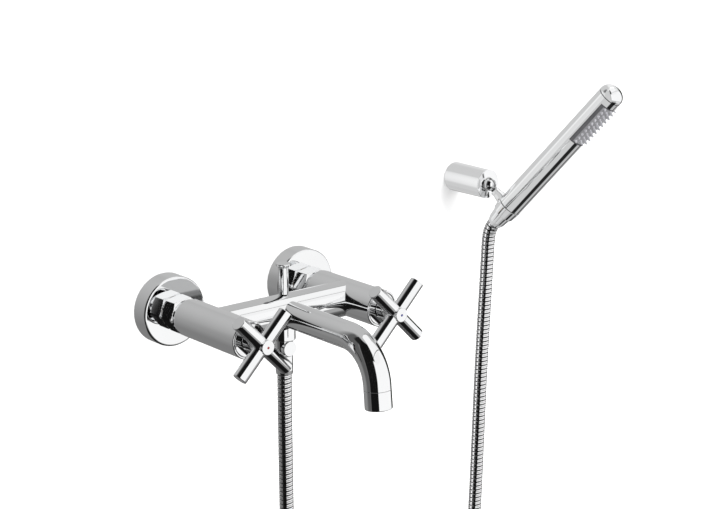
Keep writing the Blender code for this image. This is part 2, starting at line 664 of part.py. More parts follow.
def make_handset():
    """The stick hand shower: tube with its spray window, domed cap, spray plate and threaded connector."""
    tube = turned("handset_tube", CHROME, [
        (STICK_RADIUS, STICK_LENGTH),
        (STICK_RADIUS, 0.0008),
        (STICK_RADIUS - 0.0006, 0),
        (STICK_BORE, 0),
        (STICK_BORE, STICK_LENGTH),
    ], SEAM, STICK, steps=24)
    cut(tube, shell_sector("spray_window", None, 0.0160, 0.0085, WINDOW_START, WINDOW_END, WINDOW_HALF_ANGLE,
                           SEAM, STICK, SPRAY_FACING, 12))
    shell_sector("spray_plate", GREY_PLASTIC, STICK_RADIUS - 0.0003, STICK_BORE + 0.0002, WINDOW_START + GAP,
                 WINDOW_END - GAP, WINDOW_HALF_ANGLE - GAP / STICK_BORE, SEAM, STICK, SPRAY_FACING, 10)

    dome = [(0, STICK_LENGTH + GAP + CAP_HEIGHT)]
    steps = 5
    for i in range(1, steps + 1):
        angle = math.pi / 2 * i / steps
        height = 0.0008 + (CAP_HEIGHT - 0.0008) * math.cos(angle)
        dome.append((STICK_RADIUS * math.sin(angle), STICK_LENGTH + GAP + height))
    dome += [(STICK_RADIUS, STICK_LENGTH + GAP), (0, STICK_LENGTH + GAP)]
    turned("handset_end_cap", CHROME, dome, SEAM, STICK, steps=24)
    turned("handset_connector", WHITE_PLASTIC, [
        (0.0104, 0.0140),
        (0.0104, 0.0003),
        (0.0079, 0.0003),
        (0.0079, -0.0090),
        (0.0055, -0.0090),
        (0.0055, 0.0140),
    ], SEAM, STICK, steps=16)


def make_holder():
    """The wall holder: boss, screw, sleeve and socket, the slotted ball that swings, and the arm that tilts."""
    turned("holder_boss", BRASS, [
        (0.0125, 0.0080),
        (0.0125, 0),
        (0.0025, 0),
        (0.0025, 0.0080),
    ], HOLDER_AT_WALL, OUT)
    turned("holder_screw", STEEL, [
        (0, 0.0110),
        (0.0045, 0.0110),
        (0.0045, 0.0083),
        (0.0021, 0.0083),
        (0.0021, -0.0160),
        (0, -0.0160),
    ], HOLDER_AT_WALL, OUT, steps=12)
    edge = 0.0005
    turned("holder_sleeve", CHROME, [
        (SLEEVE_RADIUS - edge, SLEEVE_OUT),
        (SLEEVE_RADIUS, SLEEVE_OUT - edge),
        (SLEEVE_RADIUS, 0),
        (0.0130, 0),
        (0.0130, SLEEVE_OUT - 0.0020),
        (0.0064, SLEEVE_OUT - 0.0020),
        (0.0068, SLEEVE_OUT),
    ], HOLDER_AT_WALL, OUT, steps=24)
    socket = rod("ball_socket", WHITE_PLASTIC, 0.0124, SLEEVE_OUT - 0.0120, SLEEVE_OUT - 0.0023, HOLDER_AT_WALL, OUT)
    cut(socket, ball("socket_hollow", None, BALL_RADIUS + GAP, BALL_CENTRE))

    pin_axis = HEADING.cross(UP)
    swivel = ball("swivel_ball", CHROME, BALL_RADIUS, BALL_CENTRE)
    slot_depth, slot_back = 0.0200, 0.0030
    cut(swivel,
        block("ball_slot", None, (0.0046, 0.0300, slot_depth),
              BALL_CENTRE + HEADING * (slot_depth / 2 - slot_back), HEADING, pin_axis),
        rod("tongue_room", None, 0.0048, -0.0023, 0.0023, BALL_CENTRE, pin_axis),
        rod("pin_hole", None, 0.0013, -0.0100, 0.0100, BALL_CENTRE, pin_axis, 12))
    rod("tilt_pin", STEEL, 0.0010, -0.0059, 0.0059, BALL_CENTRE, pin_axis, 12)

    to_cup = ARM_AIM - BALL_CENTRE
    arm = turned("holder_arm", CHROME, [
        (0, CUP_TOP),
        (0.0128, CUP_TOP),
        (0.0117, CUP_BOTTOM),
        (0, CUP_BOTTOM),
    ], SEAM, STICK, steps=24)
    neck = turned("arm_neck", None, [
        (0, to_cup.length),
        (0.0061, to_cup.length),
        (0.0060, 0.0172),
        (0.0056, 0.0148),
        (0.0050, 0.0120),
        (0.0046, 0.0078),
        (0, 0.0078),
    ], BALL_CENTRE, to_cup)
    tongue = rod("arm_tongue", None, 0.0045, -0.0020, 0.0020, BALL_CENTRE, pin_axis)
    web = block("arm_web", None, (0.0040, 0.0050, 0.0100), BALL_CENTRE + to_cup.normalized() * 0.0055,
                to_cup, pin_axis)
    join(arm, neck, tongue, web)
    cut(arm,
        turned("cup_bore", None, [
            (0, 0.0200),
            (0.0132, 0.0200),
            (0.0132, CUP_TOP + 0.0004),
            (0.0116, CUP_TOP + 0.0004),
            (0.0114, CUP_TOP),
            (0.0107, CUP_BOTTOM),
            (0.0102, -0.0200),
            (0, -0.0200),
        ], SEAM, STICK, 24),
        rod("arm_pin_hole", None, 0.0013, -0.0100, 0.0100, BALL_CENTRE, pin_axis, 12))
    hang_on("tilt_pivot", BALL_CENTRE, arm)


for side_name, side_x in SIDES:
    make_inlet(side_name, side_x)
    make_headwork(side_name, side_x)
    make_handle(side_name, side_x)
make_mixer_body()
make_diverter()
make_spout()
make_outlet()
make_hose()
make_handset()
make_holder()
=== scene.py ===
"""Looks of a wall mounted bath and shower mixer with a stick hand shower on a wall holder.

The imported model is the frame. Each visible piece is built again here at full smoothness on its own axis,
in metres, with its own finish. The wall is the plane Y = 0 and the room is on its -Y side.
"""

import json
import math

import bmesh
import bpy
from mathutils import Matrix, Vector

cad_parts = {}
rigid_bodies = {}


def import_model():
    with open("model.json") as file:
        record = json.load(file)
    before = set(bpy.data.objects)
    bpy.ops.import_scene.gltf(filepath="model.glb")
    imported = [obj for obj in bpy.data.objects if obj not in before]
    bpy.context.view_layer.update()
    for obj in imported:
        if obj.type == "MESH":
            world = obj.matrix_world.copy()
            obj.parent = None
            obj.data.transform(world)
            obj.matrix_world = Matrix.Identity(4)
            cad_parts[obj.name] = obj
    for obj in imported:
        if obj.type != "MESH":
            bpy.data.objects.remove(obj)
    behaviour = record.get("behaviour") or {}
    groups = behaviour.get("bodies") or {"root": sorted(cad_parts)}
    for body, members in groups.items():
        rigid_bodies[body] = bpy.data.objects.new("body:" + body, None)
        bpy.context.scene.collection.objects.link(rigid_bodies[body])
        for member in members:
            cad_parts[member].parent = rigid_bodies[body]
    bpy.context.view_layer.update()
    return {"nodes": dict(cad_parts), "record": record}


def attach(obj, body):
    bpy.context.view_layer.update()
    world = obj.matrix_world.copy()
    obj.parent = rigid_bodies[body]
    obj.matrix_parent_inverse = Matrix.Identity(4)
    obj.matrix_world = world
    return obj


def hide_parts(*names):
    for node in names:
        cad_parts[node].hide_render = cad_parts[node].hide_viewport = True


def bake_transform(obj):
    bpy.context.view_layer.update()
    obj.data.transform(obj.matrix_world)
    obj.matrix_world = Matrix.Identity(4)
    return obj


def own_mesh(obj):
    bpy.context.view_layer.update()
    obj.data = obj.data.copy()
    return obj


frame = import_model()

# The frame's own dimensions, in metres. A name ending in _OUT is a distance from the wall.
INLET_X = 0.075
FLANGE_RADIUS, FLANGE_OUT = 0.0326, 0.018
NUT_RADIUS, NUT_BACK_OUT, NUT_FRONT_OUT, NUT_TURN = 0.0173, 0.0188, 0.0350, math.radians(8)
UNION_OFFSET = 0.0070
BARREL_RADIUS, BARREL_BACK_OUT, BARREL_FRONT_OUT = 0.01725, 0.0404, 0.1305
CROSSBAR_RADIUS, CROSSBAR_OUT = 0.0168, 0.0814
HANDLE_OUT, CAP_SEAT_OUT, HUB_FRONT_OUT = 0.1498, 0.1556, 0.1580
SPOKE_RADIUS, SPOKE_REACH = 0.0066, 0.0355
SPOUT_RADIUS, SPOUT_BORE = 0.0123, 0.0103
SPOUT_BEND_OUT, SPOUT_BEND_RADIUS, SPOUT_BEND_ANGLE = 0.1732, 0.0394, math.radians(84.2)
SPOUT_TAIL, AERATOR_LENGTH = 0.0035, 0.0172
KNOB_RADIUS, KNOB_CAP_RADIUS, KNOB_BOTTOM, KNOB_TOP = 0.0047, 0.0069, 0.0178, 0.0456
STEM_RADIUS, STEM_BOTTOM, STEM_TOP = 0.0020, -0.0093, KNOB_BOTTOM + 0.0120
SPRING_WIRE, SPRING_RADIUS, SPRING_TURNS, SPRING_FOOT, SPRING_HEAD = 0.0004, 0.0034, 4, -0.0086, 0.0075
NECK_RADIUS, NECK_BOTTOM = 0.0106, -0.0256
OUTLET_LEVEL, OUTLET_TUBE_RADIUS, OUTLET_HALF_LENGTH = -0.0330, 0.0071, 0.0094
HOSE_NUT_RADIUS, HOSE_NUT_TOP, HOSE_NUT_BOTTOM = 0.0081, -0.0404, -0.0584
HOSE_DIAMETER = 0.0134
HOLDER_X, HOLDER_Z, SLEEVE_RADIUS, SLEEVE_OUT = 0.2832, 0.0716, 0.0146, 0.0491
BALL_RADIUS, BALL_OUT, ARM_REACH, ARM_DROP = 0.0063, 0.0515, 0.0232, 0.0184
ARM_SWING, STICK_RISE = math.radians(22.1), math.radians(49.5)
CUP_TOP, CUP_BOTTOM, CONE_END = -0.0008, -0.0118, -0.0270
STICK_LENGTH, STICK_RADIUS, STICK_BORE, CAP_HEIGHT = 0.1550, 0.0125, 0.0107, 0.0110
WINDOW_START, WINDOW_END, WINDOW_HALF_ANGLE = 0.0996, 0.1488, math.radians(65.5)
SPRAY_TURN = math.radians(-22.0)
NOZZLE_PITCH, FIRST_NOZZLE, NOZZLE_COLUMNS = 0.00487, 0.1024, (-36, -18, 0, 18, 36)
GAP = 0.0003

OUT = Vector((0, -1, 0))
UP = Vector((0, 0, 1))
ACROSS = Vector((1, 0, 0))
HEADING = Vector((math.sin(ARM_SWING), -math.cos(ARM_SWING), 0))
STICK = HEADING * math.cos(STICK_RISE) + UP * math.sin(STICK_RISE)
SPRAY_DOWN = HEADING * math.sin(STICK_RISE) - UP * math.cos(STICK_RISE)
SPRAY_FACING = Matrix.Rotation(SPRAY_TURN, 3, STICK) @ SPRAY_DOWN
CROSSBAR_CENTRE = Vector((0, -CROSSBAR_OUT, 0))
HOLDER_AT_WALL = Vector((HOLDER_X, 0, HOLDER_Z))
BALL_CENTRE = HOLDER_AT_WALL + OUT * BALL_OUT
SEAM = BALL_CENTRE + HEADING * ARM_REACH - UP * ARM_DROP
ARM_AIM = SEAM + STICK * -0.0025
HOSE_END = SEAM + STICK * (CONE_END - GAP)
PIN_AXIS = HEADING.cross(UP)

# The hose's own route, from the hose nut down, round its loop and up to the cone nut.
HOSE_ROUTE = [
    (0.0000, -0.0814, -0.0587),
    (0.0000, -0.0814, -0.0850),
    (0.0002, -0.0814, -0.1250),
    (0.0008, -0.0812, -0.1800),
    (0.0018, -0.0810, -0.2400),
    (0.0036, -0.0808, -0.3000),
    (0.0072, -0.0803, -0.3640),
    (0.0148, -0.0795, -0.4250),
    (0.0290, -0.0778, -0.4820),
    (0.0530, -0.0751, -0.5300),
    (0.0880, -0.0712, -0.5640),
    (0.1320, -0.0663, -0.5784),
    (0.1760, -0.0615, -0.5670),
    (0.2105, -0.0577, -0.5362),
    (0.2340, -0.0552, -0.4900),
    (0.2500, -0.0537, -0.4360),
    (0.2600, -0.0529, -0.3780),
    (0.2660, -0.0525, -0.3180),
    (0.2697, -0.0522, -0.2580),
    (0.2722, -0.0519, -0.1980),
    (0.2745, -0.0517, -0.1380),
    (0.2772, -0.0514, -0.0850),
    (0.2798, -0.0511, -0.0420),
    (0.2819, -0.0508, -0.0080),
    (0.2829, -0.0510, 0.0130),
    (0.2836, -0.0524, 0.0240),
    tuple(HOSE_END - STICK * 0.0020),
    tuple(HOSE_END),
]
# Distances down the hose from the cone nut at which its stretches meet.
HOSE_JOINTS = (0, 0.084, 0.168, 0.280)
RIB_PITCH = 0.0042


def shown(name, data):
    """A new object in the scene."""
    obj = bpy.data.objects.new(name, data)
    bpy.context.scene.collection.objects.link(obj)
    return obj


def make_camera():
    data = bpy.data.cameras.new("camera")
    data.lens = 93.03
    data.sensor_width = 36
    data.clip_start, data.clip_end = 0.05, 50
    camera = shown("camera", data)
    camera.location = (-0.9772, -1.3655, 0.4840)
    aim = Vector((0.107354, -0.0600, 0.030964)) - camera.location
    camera.rotation_euler = aim.to_track_quat("-Z", "Y").to_euler()
    bpy.context.scene.camera = camera


make_camera()


# Materials.

def node_material(name, colour, roughness, metallic=0.0):
    """A principled material and its node tree, shader and object coordinates."""
    material = bpy.data.materials.new(name)
    material.use_nodes = True
    material.diffuse_color = (*colour, 1)
    tree = material.node_tree
    shader = tree.nodes["Principled BSDF"]
    shader.inputs["Base Color"].default_value = (*colour, 1)
    shader.inputs["Roughness"].default_value = roughness
    shader.inputs["Metallic"].default_value = metallic
    place = tree.nodes.new("ShaderNodeTexCoord").outputs["Object"]
    return material, tree, shader, place


def feed(node, socket, source):
    """Links another node's output to a socket."""
    node.id_data.links.new(source, node.inputs[socket])


def noise(tree, place, scale, detail=3.0, stretch=(1, 1, 1)):
    """Noise at a scale in features per metre, drawn out along any axis by stretch."""
    mapping = tree.nodes.new("ShaderNodeMapping")
    mapping.inputs["Scale"].default_value = stretch
    feed(mapping, "Vector", place)
    texture = tree.nodes.new("ShaderNodeTexNoise")
    texture.inputs["Scale"].default_value = scale
    texture.inputs["Detail"].default_value = detail
    feed(texture, "Vector", mapping.outputs["Vector"])
    return texture.outputs["Fac"]


def ranged(tree, value, low, high, start=0.3, end=0.7):
    """The value taken from between start and end to between low and high."""
    ramp = tree.nodes.new("ShaderNodeMapRange")
    for socket, number in (("From Min", start), ("From Max", end), ("To Min", low), ("To Max", high)):
        ramp.inputs[socket].default_value = number
    feed(ramp, "Value", value)
    return ramp.outputs["Result"]


def mixed(tree, factor, first, second):
    """A colour between two others."""
    mix = tree.nodes.new("ShaderNodeMix")
    mix.data_type = "RGBA"
    mix.inputs["A"].default_value = (*first, 1)
    mix.inputs["B"].default_value = (*second, 1)
    feed(mix, "Factor", factor)
    return mix.outputs["Result"]


def bumped(tree, shader, height, distance, strength=1.0):
    """Gives the shader a bump from a height of 0 to 1 that stands for a distance in metres."""
    bump = tree.nodes.new("ShaderNodeBump")
    bump.inputs["Strength"].default_value = strength
    bump.inputs["Distance"].default_value = distance
    feed(bump, "Height", height)
    feed(shader, "Normal", bump.outputs["Normal"])


def chrome_material():
    """Polished chrome plate: a thin film of smears in its gloss and a trace of polishing waves."""
    colour = 0.93, 0.935, 0.94
    smooth, worn = 0.018, 0.055
    material, tree, shader, place = node_material("chrome", colour, smooth, 1.0)
    smears = noise(tree, place, 38, 4, (1, 1, 0.35))
    feed(shader, "Roughness", ranged(tree, smears, smooth, worn, 0.42, 0.78))
    tint = noise(tree, place, 15, 2)
    pale = tuple(c * 0.965 for c in colour)
    feed(shader, "Base Color", mixed(tree, ranged(tree, tint, 0, 1), colour, pale))
    bumped(tree, shader, noise(tree, place, 85, 2), 0.0000018)
    return material


def hose_material():
    """Bright ribs over a darker groove, whose dark colour is painted shade where the strip's edge folds
    under.
    """
    material, tree, shader, place = node_material("hose_chrome", (0.90, 0.905, 0.91), 0.05, 1.0)
    groove = tree.nodes.new("ShaderNodeAttribute")
    groove.attribute_name = "groove"
    # Painted shade: the colour goes from bright chrome on the ribs to near black in the grooves between them.
    feed(shader, "Base Color", mixed(tree, groove.outputs["Fac"], (0.95, 0.95, 0.955), (0.07, 0.07, 0.075)))
    rough = noise(tree, place, 60, 3)
    feed(shader, "Roughness", ranged(tree, rough, 0.035, 0.10))
    bumped(tree, shader, noise(tree, place, 240, 2), 0.000006)
    return material


def metal_material(name, colour, dark, roughness, turning):
    """Machined metal with fine turning marks and dull patches."""
    material, tree, shader, place = node_material(name, colour, roughness, 1.0)
    patches = noise(tree, place, 120, 5)
    feed(shader, "Base Color", mixed(tree, ranged(tree, patches, 0, 1), colour, dark))
    feed(shader, "Roughness", ranged(tree, noise(tree, place, 300, 3), roughness * 0.8, roughness * 1.3))
    bumped(tree, shader, noise(tree, place, turning, 3, (0.05, 1, 0.05)), 0.00002, 0.6)
    return material


def plastic_material(name, colour, other, roughness, grain, depth, scatter=0.0):
    """Moulded plastic or rubber with a faint grain and slight colour drift."""
    material, tree, shader, place = node_material(name, colour, roughness)
    drift = noise(tree, place, 60, 3)
    feed(shader, "Base Color", mixed(tree, ranged(tree, drift, 0, 1), colour, other))
    feed(shader, "Roughness", ranged(tree, noise(tree, place, grain, 2), roughness * 0.85, roughness * 1.15))
    bumped(tree, shader, noise(tree, place, grain, 2), depth)
    if scatter:
        shader.inputs["Subsurface Weight"].default_value = scatter
        shader.inputs["Subsurface Radius"].default_value = (0.002, 0.002, 0.002)
        shader.inputs["Subsurface Scale"].default_value = 0.5
    return material


def enamel_material(name, colour, dark):
    material, tree, shader, place = node_material(name, colour, 0.22)
    feed(shader, "Base Color", mixed(tree, ranged(tree, noise(tree, place, 900, 2), 0, 1), colour, dark))
    feed(shader, "Roughness", ranged(tree, noise(tree, place, 700, 2), 0.16, 0.30))
    shader.inputs["Coat Weight"].default_value = 0.5
    return material


CHROME = chrome_material()
HOSE = hose_material()
BRASS = metal_material("brass", (0.80, 0.60, 0.28), (0.62, 0.44, 0.20), 0.28, 900)
STEEL = metal_material("steel", (0.62, 0.62, 0.63), (0.48, 0.48, 0.49), 0.26, 900)
RUBBER = plastic_material("rubber", (0.025, 0.025, 0.026), (0.045, 0.045, 0.045), 0.7, 500, 0.00003)
CERAMIC = plastic_material("ceramic", (0.88, 0.87, 0.84), (0.82, 0.81, 0.78), 0.2, 400, 0.000004)
FACE_GREY = plastic_material("face_grey", (0.21, 0.21, 0.22), (0.16, 0.16, 0.17), 0.42, 700, 0.00002)
EDGE_GREY = plastic_material("edge_grey", (0.055, 0.055, 0.06), (0.08, 0.08, 0.085), 0.36, 700, 0.00002)
NOZZLE = plastic_material("nozzle_silicone", (0.40, 0.40, 0.42), (0.30, 0.30, 0.32), 0.40, 800, 0.00002, 0.3)
WHITE_PLASTIC = plastic_material("white_plastic", (0.82, 0.82, 0.80), (0.72, 0.72, 0.70), 0.38, 600, 0.00002)
RED = enamel_material("hot_enamel", (0.22, 0.005, 0.006), (0.16, 0.004, 0.005))
BLUE = enamel_material("cold_enamel", (0.006, 0.012, 0.16), (0.004, 0.008, 0.10))
BY_SLOT = {"chrome": CHROME, "brass": BRASS, "steel": STEEL, "rubber": RUBBER, "ceramic": CERAMIC,
           "grey_plastic": FACE_GREY, "white_plastic": WHITE_PLASTIC, "hose": HOSE}
SLOT_OF = {part["node"]: part["material_slot"] for part in frame["record"]["subparts"]}
for node, node_object in frame["nodes"].items():
    node_object.data.materials.clear()
    node_object.data.materials.append(BY_SLOT[SLOT_OF[node]])


# Mesh building.

def facing(axis, side=None):
    """A rotation that takes +Z to axis and, when side is given, +X to side."""
    z = axis.normalized()
    if side is None:
        return z.to_track_quat("Z", "Y").to_matrix().to_4x4()
    x = side.normalized()
    return Matrix((x, z.cross(x), z)).transposed().to_4x4()


def placed(origin, axis, side=None):
    return Matrix.Translation(origin) @ facing(axis, side)


def softened(outline, closed):
    """An outline of (radius, height) or (radius, height, rounding) points with its corners rounded."""
    count = len(outline)
    result = []
    for i, point in enumerate(outline):
        corner = Vector(point[:2])
        rounding = point[2] if len(point) > 2 else 0
        if not rounding or (not closed and i in (0, count - 1)):
            result.append(tuple(corner))
            continue
        before = Vector(outline[i - 1][:2]) - corner
        after = Vector(outline[(i + 1) % count][:2]) - corner
        turn = math.pi - before.angle(after)
        back = min(rounding * math.tan(turn / 2), before.length * 0.49, after.length * 0.49)
        start, end = corner + before.normalized() * back, corner + after.normalized() * back
        steps = max(3, round(math.degrees(turn) / 15))
        for step in range(steps + 1):
            t = step / steps
            weight = 2 * t * (1 - t) * math.cos(turn / 2)
            total = (1 - t) ** 2 + weight + t ** 2
            result.append(tuple((start * (1 - t) ** 2 + corner * weight + end * t ** 2) / total))
    return result


def rod(radius, top, bottom, top_rounding=0, bottom_rounding=0):
    """The outline of a solid round bar between two heights."""
    return [(0, top), (radius, top, top_rounding), (radius, bottom, bottom_rounding), (0, bottom)]


def turned(angle, radius, height):
    """The point at an angle about +Z, a radius from it and a height along it."""
    return Vector((radius * math.cos(angle), radius * math.sin(angle), height))


def ring_of(shape, radius, height, steps, matrix):
    return [shape.verts.new(matrix @ turned(math.tau * i / steps, radius, height)) for i in range(steps)]


def skinned(shape, rings):
    """Adds the faces between each ring of vertices and the next, and between the last and the first."""
    for a, b in zip(rings, [*rings[1:], rings[0]]):
        for i in range(len(a)):
            j = (i + 1) % len(a)
            shape.faces.new((a[i], a[j], b[j], b[i]))


def block(shape, size, matrix):
    """Adds a box to a bmesh."""
    corners = bmesh.ops.create_cube(shape, size=1)["verts"]
    bmesh.ops.scale(shape, vec=size, verts=corners)
    bmesh.ops.transform(shape, matrix=matrix, verts=corners)


def revolve(shape, outline, steps, matrix):
    """Adds a solid of revolution to a bmesh. An outline that ends on the axis is solid, any other a ring."""
    closed = not (outline[0][0] == 0 and outline[-1][0] == 0)
    profile = softened(outline, closed)
    rings = []
    for radius, height in profile:
        if radius < 1e-7:
            rings.append([shape.verts.new(matrix @ Vector((0, 0, height)))])
        else:
            rings.append(ring_of(shape, radius, height, steps, matrix))
    pairs = list(zip(rings, rings[1:]))
    if closed:
        pairs.append((rings[-1], rings[0]))
    for a, b in pairs:
        for i in range(steps):
            j = (i + 1) % steps
            corners = [a[i % len(a)], a[j % len(a)], b[j % len(b)], b[i % len(b)]]
            corners = [v for k, v in enumerate(corners) if v not in corners[:k]]
            if len(corners) > 2:
                shape.faces.new(corners)


def object_from(name, shape, look, flat_angle=32):
    """A smooth shaded object from a bmesh, with creases where it turns sharply."""
    bmesh.ops.recalc_face_normals(shape, faces=shape.faces)
    mesh = bpy.data.meshes.new(name)
    shape.to_mesh(mesh)
    shape.free()
    mesh.shade_smooth()
    mesh.set_sharp_from_angle(angle=math.radians(flat_angle))
    for material in look if isinstance(look, (list, tuple)) else [look]:
        mesh.materials.append(material)
    return shown(name, mesh)


def turned_object(name, outline, steps, matrix):
    """A chrome object, or a cutter, from one turned outline."""
    shape = bmesh.new()
    revolve(shape, outline, steps, matrix)
    return object_from(name, shape, CHROME)


def weighted(obj):
    """Keeps flat and straight faces flat in the shading beside their rounded corners."""
    modifier = obj.modifiers.new("weighted", "WEIGHTED_NORMAL")
    modifier.mode = "FACE_AREA"
    modifier.weight = 50
    modifier.keep_sharp = True
    return obj


def settle(obj, body, slot, *stands_for):
    """Puts a finished piece on its body and hides the nodes it stands for. The slot argument is not used."""
    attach(obj, body)
    if stands_for:
        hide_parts(*stands_for)
    return obj


def lathe(name, look, parts, body, slot, *stands_for, steps=96):
    """One piece from turned parts, each an outline with its origin and axis."""
    shape = bmesh.new()
    for outline, origin, axis in parts:
        revolve(shape, outline, steps, placed(origin, axis))
    return settle(weighted(object_from(name, shape, look)), body, slot, *stands_for)


def baked(obj):
    """The object with its modifiers applied to its mesh."""
    graph = bpy.context.evaluated_depsgraph_get()
    mesh = bpy.data.meshes.new_from_object(obj.evaluated_get(graph))
    obj.modifiers.clear()
    obj.data = mesh
    mesh.shade_smooth()
    mesh.set_sharp_from_angle(angle=math.radians(32))
    return obj


def carved(obj, cutters):
    """The object less the cutters, which are then removed."""
    for cutter in cutters:
        modifier = obj.modifiers.new("cut", "BOOLEAN")
        modifier.operation = "DIFFERENCE"
        modifier.object = cutter
    bpy.context.view_layer.update()
    baked(obj)
    for cutter in cutters:
        bpy.data.objects.remove(cutter, do_unlink=True)
    return obj


# Lines and tubes.

def smooth_line(route):
    """Close points on a smooth curve through the route's points, and each one's distance along it."""
    points = [Vector(point) for point in route]
    ends = [2 * points[0] - points[1], *points, 2 * points[-1] - points[-2]]
    line = []
    for a, b, c, d in zip(ends, ends[1:], ends[2:], ends[3:]):
        for step in range(20):
            t = step / 20
            line.append(0.5 * (2 * b + (c - a) * t + (2 * a - 5 * b + 4 * c - d) * t**2
                               + (3 * b - a - 3 * c + d) * t**3))
    line.append(points[-1])
    reach = [0.0]
    for a, b in zip(line, line[1:]):
        reach.append(reach[-1] + (b - a).length)
    return line, reach


def frames_along(line):
    """A side direction at each point of a line, carried along it without twist."""
    tangent = (line[1] - line[0]).normalized()
    side = tangent.orthogonal().normalized()
    frames = []
    for i in range(len(line)):
        ahead = line[min(i + 1, len(line) - 1)] - line[max(i - 1, 0)]
        ahead.normalize()
        side = (side - ahead * side.dot(ahead)).normalized()
        frames.append((side.copy(), ahead.cross(side)))
    return frames


def at_distance(line, reach, frames, wanted, start=0):
    """The point, side and cross side at a distance along the line, and where the search ended."""
    i = start
    while i < len(line) - 2 and reach[i + 1] < wanted:
        i += 1
    while i > 0 and reach[i] > wanted:
        i -= 1
    t = min(1.0, max(0.0, (wanted - reach[i]) / (reach[i + 1] - reach[i])))
    point = line[i].lerp(line[i + 1], t)
    return point, frames[i][0].lerp(frames[i + 1][0], t), frames[i][1].lerp(frames[i + 1][1], t), i


# One rib of the hose: share of the pitch, share of the radius, and how much of the groove's painted shade
# darkens its colour there.
RIB = ((0.00, 0.895, 1.0), (0.08, 0.935, 0.9), (0.14, 0.980, 0.1), (0.22, 0.998, 0.0), (0.34, 1.000, 0.0),
       (0.50, 0.992, 0.10), (0.54, 0.984, 0.25), (0.58, 0.992, 0.10), (0.72, 1.000, 0.0), (0.82, 0.996, 0.0),
       (0.90, 0.965, 0.3), (0.95, 0.930, 1.0))
HOSE_SIDES = 36


def ribbed_tube(name, line, reach, frames, first, last):
    """A stretch of the hose between two of its turns, wound as one spiral strip."""
    shape = bmesh.new()
    # The groove attribute holds each vertex's share of painted shade, which darkens the hose's colour in the
    # grooves.
    painted_shade_layer = shape.verts.layers.float.new("groove")
    whole = reach[-1]
    columns = {}
    spot = 0
    for q in range(first * HOSE_SIDES, (last + 1) * HOSE_SIDES + 1):
        angle = math.tau * (q % HOSE_SIDES) / HOSE_SIDES
        base = RIB_PITCH * q / HOSE_SIDES
        column = []
        for share, width, dark in RIB:
            distance = min(max(base + share * RIB_PITCH - RIB_PITCH, 0.0), whole)
            point, side, cross, spot = at_distance(line, reach, frames, distance, spot)
            vertex = shape.verts.new(
                point + (side * math.cos(angle) + cross * math.sin(angle)) * (HOSE_DIAMETER / 2 * width))
            vertex[painted_shade_layer] = dark
            column.append(vertex)
        columns[q] = column
    for q in range(first * HOSE_SIDES, last * HOSE_SIDES):
        here = columns[q] + [columns[q + HOSE_SIDES][0]]
        there = columns[q + 1] + [columns[q + 1 + HOSE_SIDES][0]]
        for a, b, c, d in zip(here, there, there[1:], here[1:]):
            shape.faces.new((a, b, c, d))
    bmesh.ops.remove_doubles(shape, verts=shape.verts, dist=0.000002)
    loose = [v for v in shape.verts if not v.link_faces]
    bmesh.ops.delete(shape, geom=loose, context="VERTS")
    return object_from(name, shape, HOSE, 60)


def make_hose():
    """The hose in four stretches: one that hangs still on the mixer, and three, each between two bodies,
    which are put on no body.
    """
    line, reach = smooth_line(HOSE_ROUTE)
    frames = frames_along(line)
    whole = reach[-1]
    turns = [round((whole - joint) / RIB_PITCH) for joint in HOSE_JOINTS]
    turns[0] += 2
    marks = [0, *reversed(turns)]
    stretches = (("shower_hose_long", ("shower_hose",)), ("shower_hose_swing", ("hose_swing_length",)),
                 ("shower_hose_tilt", ("hose_tilt_length",)), ("shower_hose_end", ("hose_end_length",)))
    bodies = {"shower_hose_swing": ("mixer", "swivel"), "shower_hose_tilt": ("swivel", "arm"),
              "shower_hose_end": ("arm", "hose_end")}
    for (name, nodes), first, last in zip(stretches, marks, marks[1:]):
        tube = ribbed_tube(name, line, reach, frames, first, last)
        low, high = max(0.0, (first - 0.5) * RIB_PITCH), min(whole, (last - 0.5) * RIB_PITCH)
        count = max(16, round((high - low) / 0.010))
        path = [at_distance(line, reach, frames, low + (high - low) * i / count)[0] for i in range(count + 1)]
        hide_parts(*nodes)
        if name in bodies:
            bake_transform(tube)
        else:
            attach(tube, "mixer")


make_hose()


# The mixer.

def make_flange(side, at_wall):
    lathe(f"{side}_flange", CHROME, [([
        (FLANGE_RADIUS, FLANGE_OUT, 0.0021), (FLANGE_RADIUS, 0, 0.0002),
        (FLANGE_RADIUS - 0.0030, 0, 0.0002), (FLANGE_RADIUS - 0.0030, FLANGE_OUT - 0.0025, 0.0010),
        (0.0138, FLANGE_OUT - 0.0025), (0.0138, FLANGE_OUT, 0.0004),
    ], at_wall, OUT)], "mixer", "chrome", f"{side}_wall_flange", steps=144)


def make_union(side, at_wall):
    """The eccentric union: its mouth in the nut, its collar, and its thread in the wall, a little higher."""
    thread = []
    for i in range(11):
        height = -0.0155 + i * 0.0018
        thread += [(0.0104, height + 0.0002), (0.0104, height + 0.0006), (0.0096, height + 0.0010),
                   (0.0096, height + 0.0014)]
    lathe(f"{side}_union", BRASS, [
        ([(0.0132, 0.0270, 0.0004), (0.0132, 0.0010), (0.0095, 0.0010), (0.0095, 0.0270, 0.0003)],
         at_wall, OUT),
        ([(0.0175, 0.0100, 0.0006), (0.0175, 0.0020, 0.0006), (0.0090, 0.0020), (0.0090, 0.0100)],
         at_wall + UP * (UNION_OFFSET / 2), OUT),
        ([(0.0075, 0.0040), (0.0104, 0.0040), *thread[::-1], (0.0098, -0.0160, 0.0003),
          (0.0075, -0.0160, 0.0003)], at_wall + UP * UNION_OFFSET, OUT),
    ], "mixer", "brass", f"{side}_eccentric_union", steps=72)


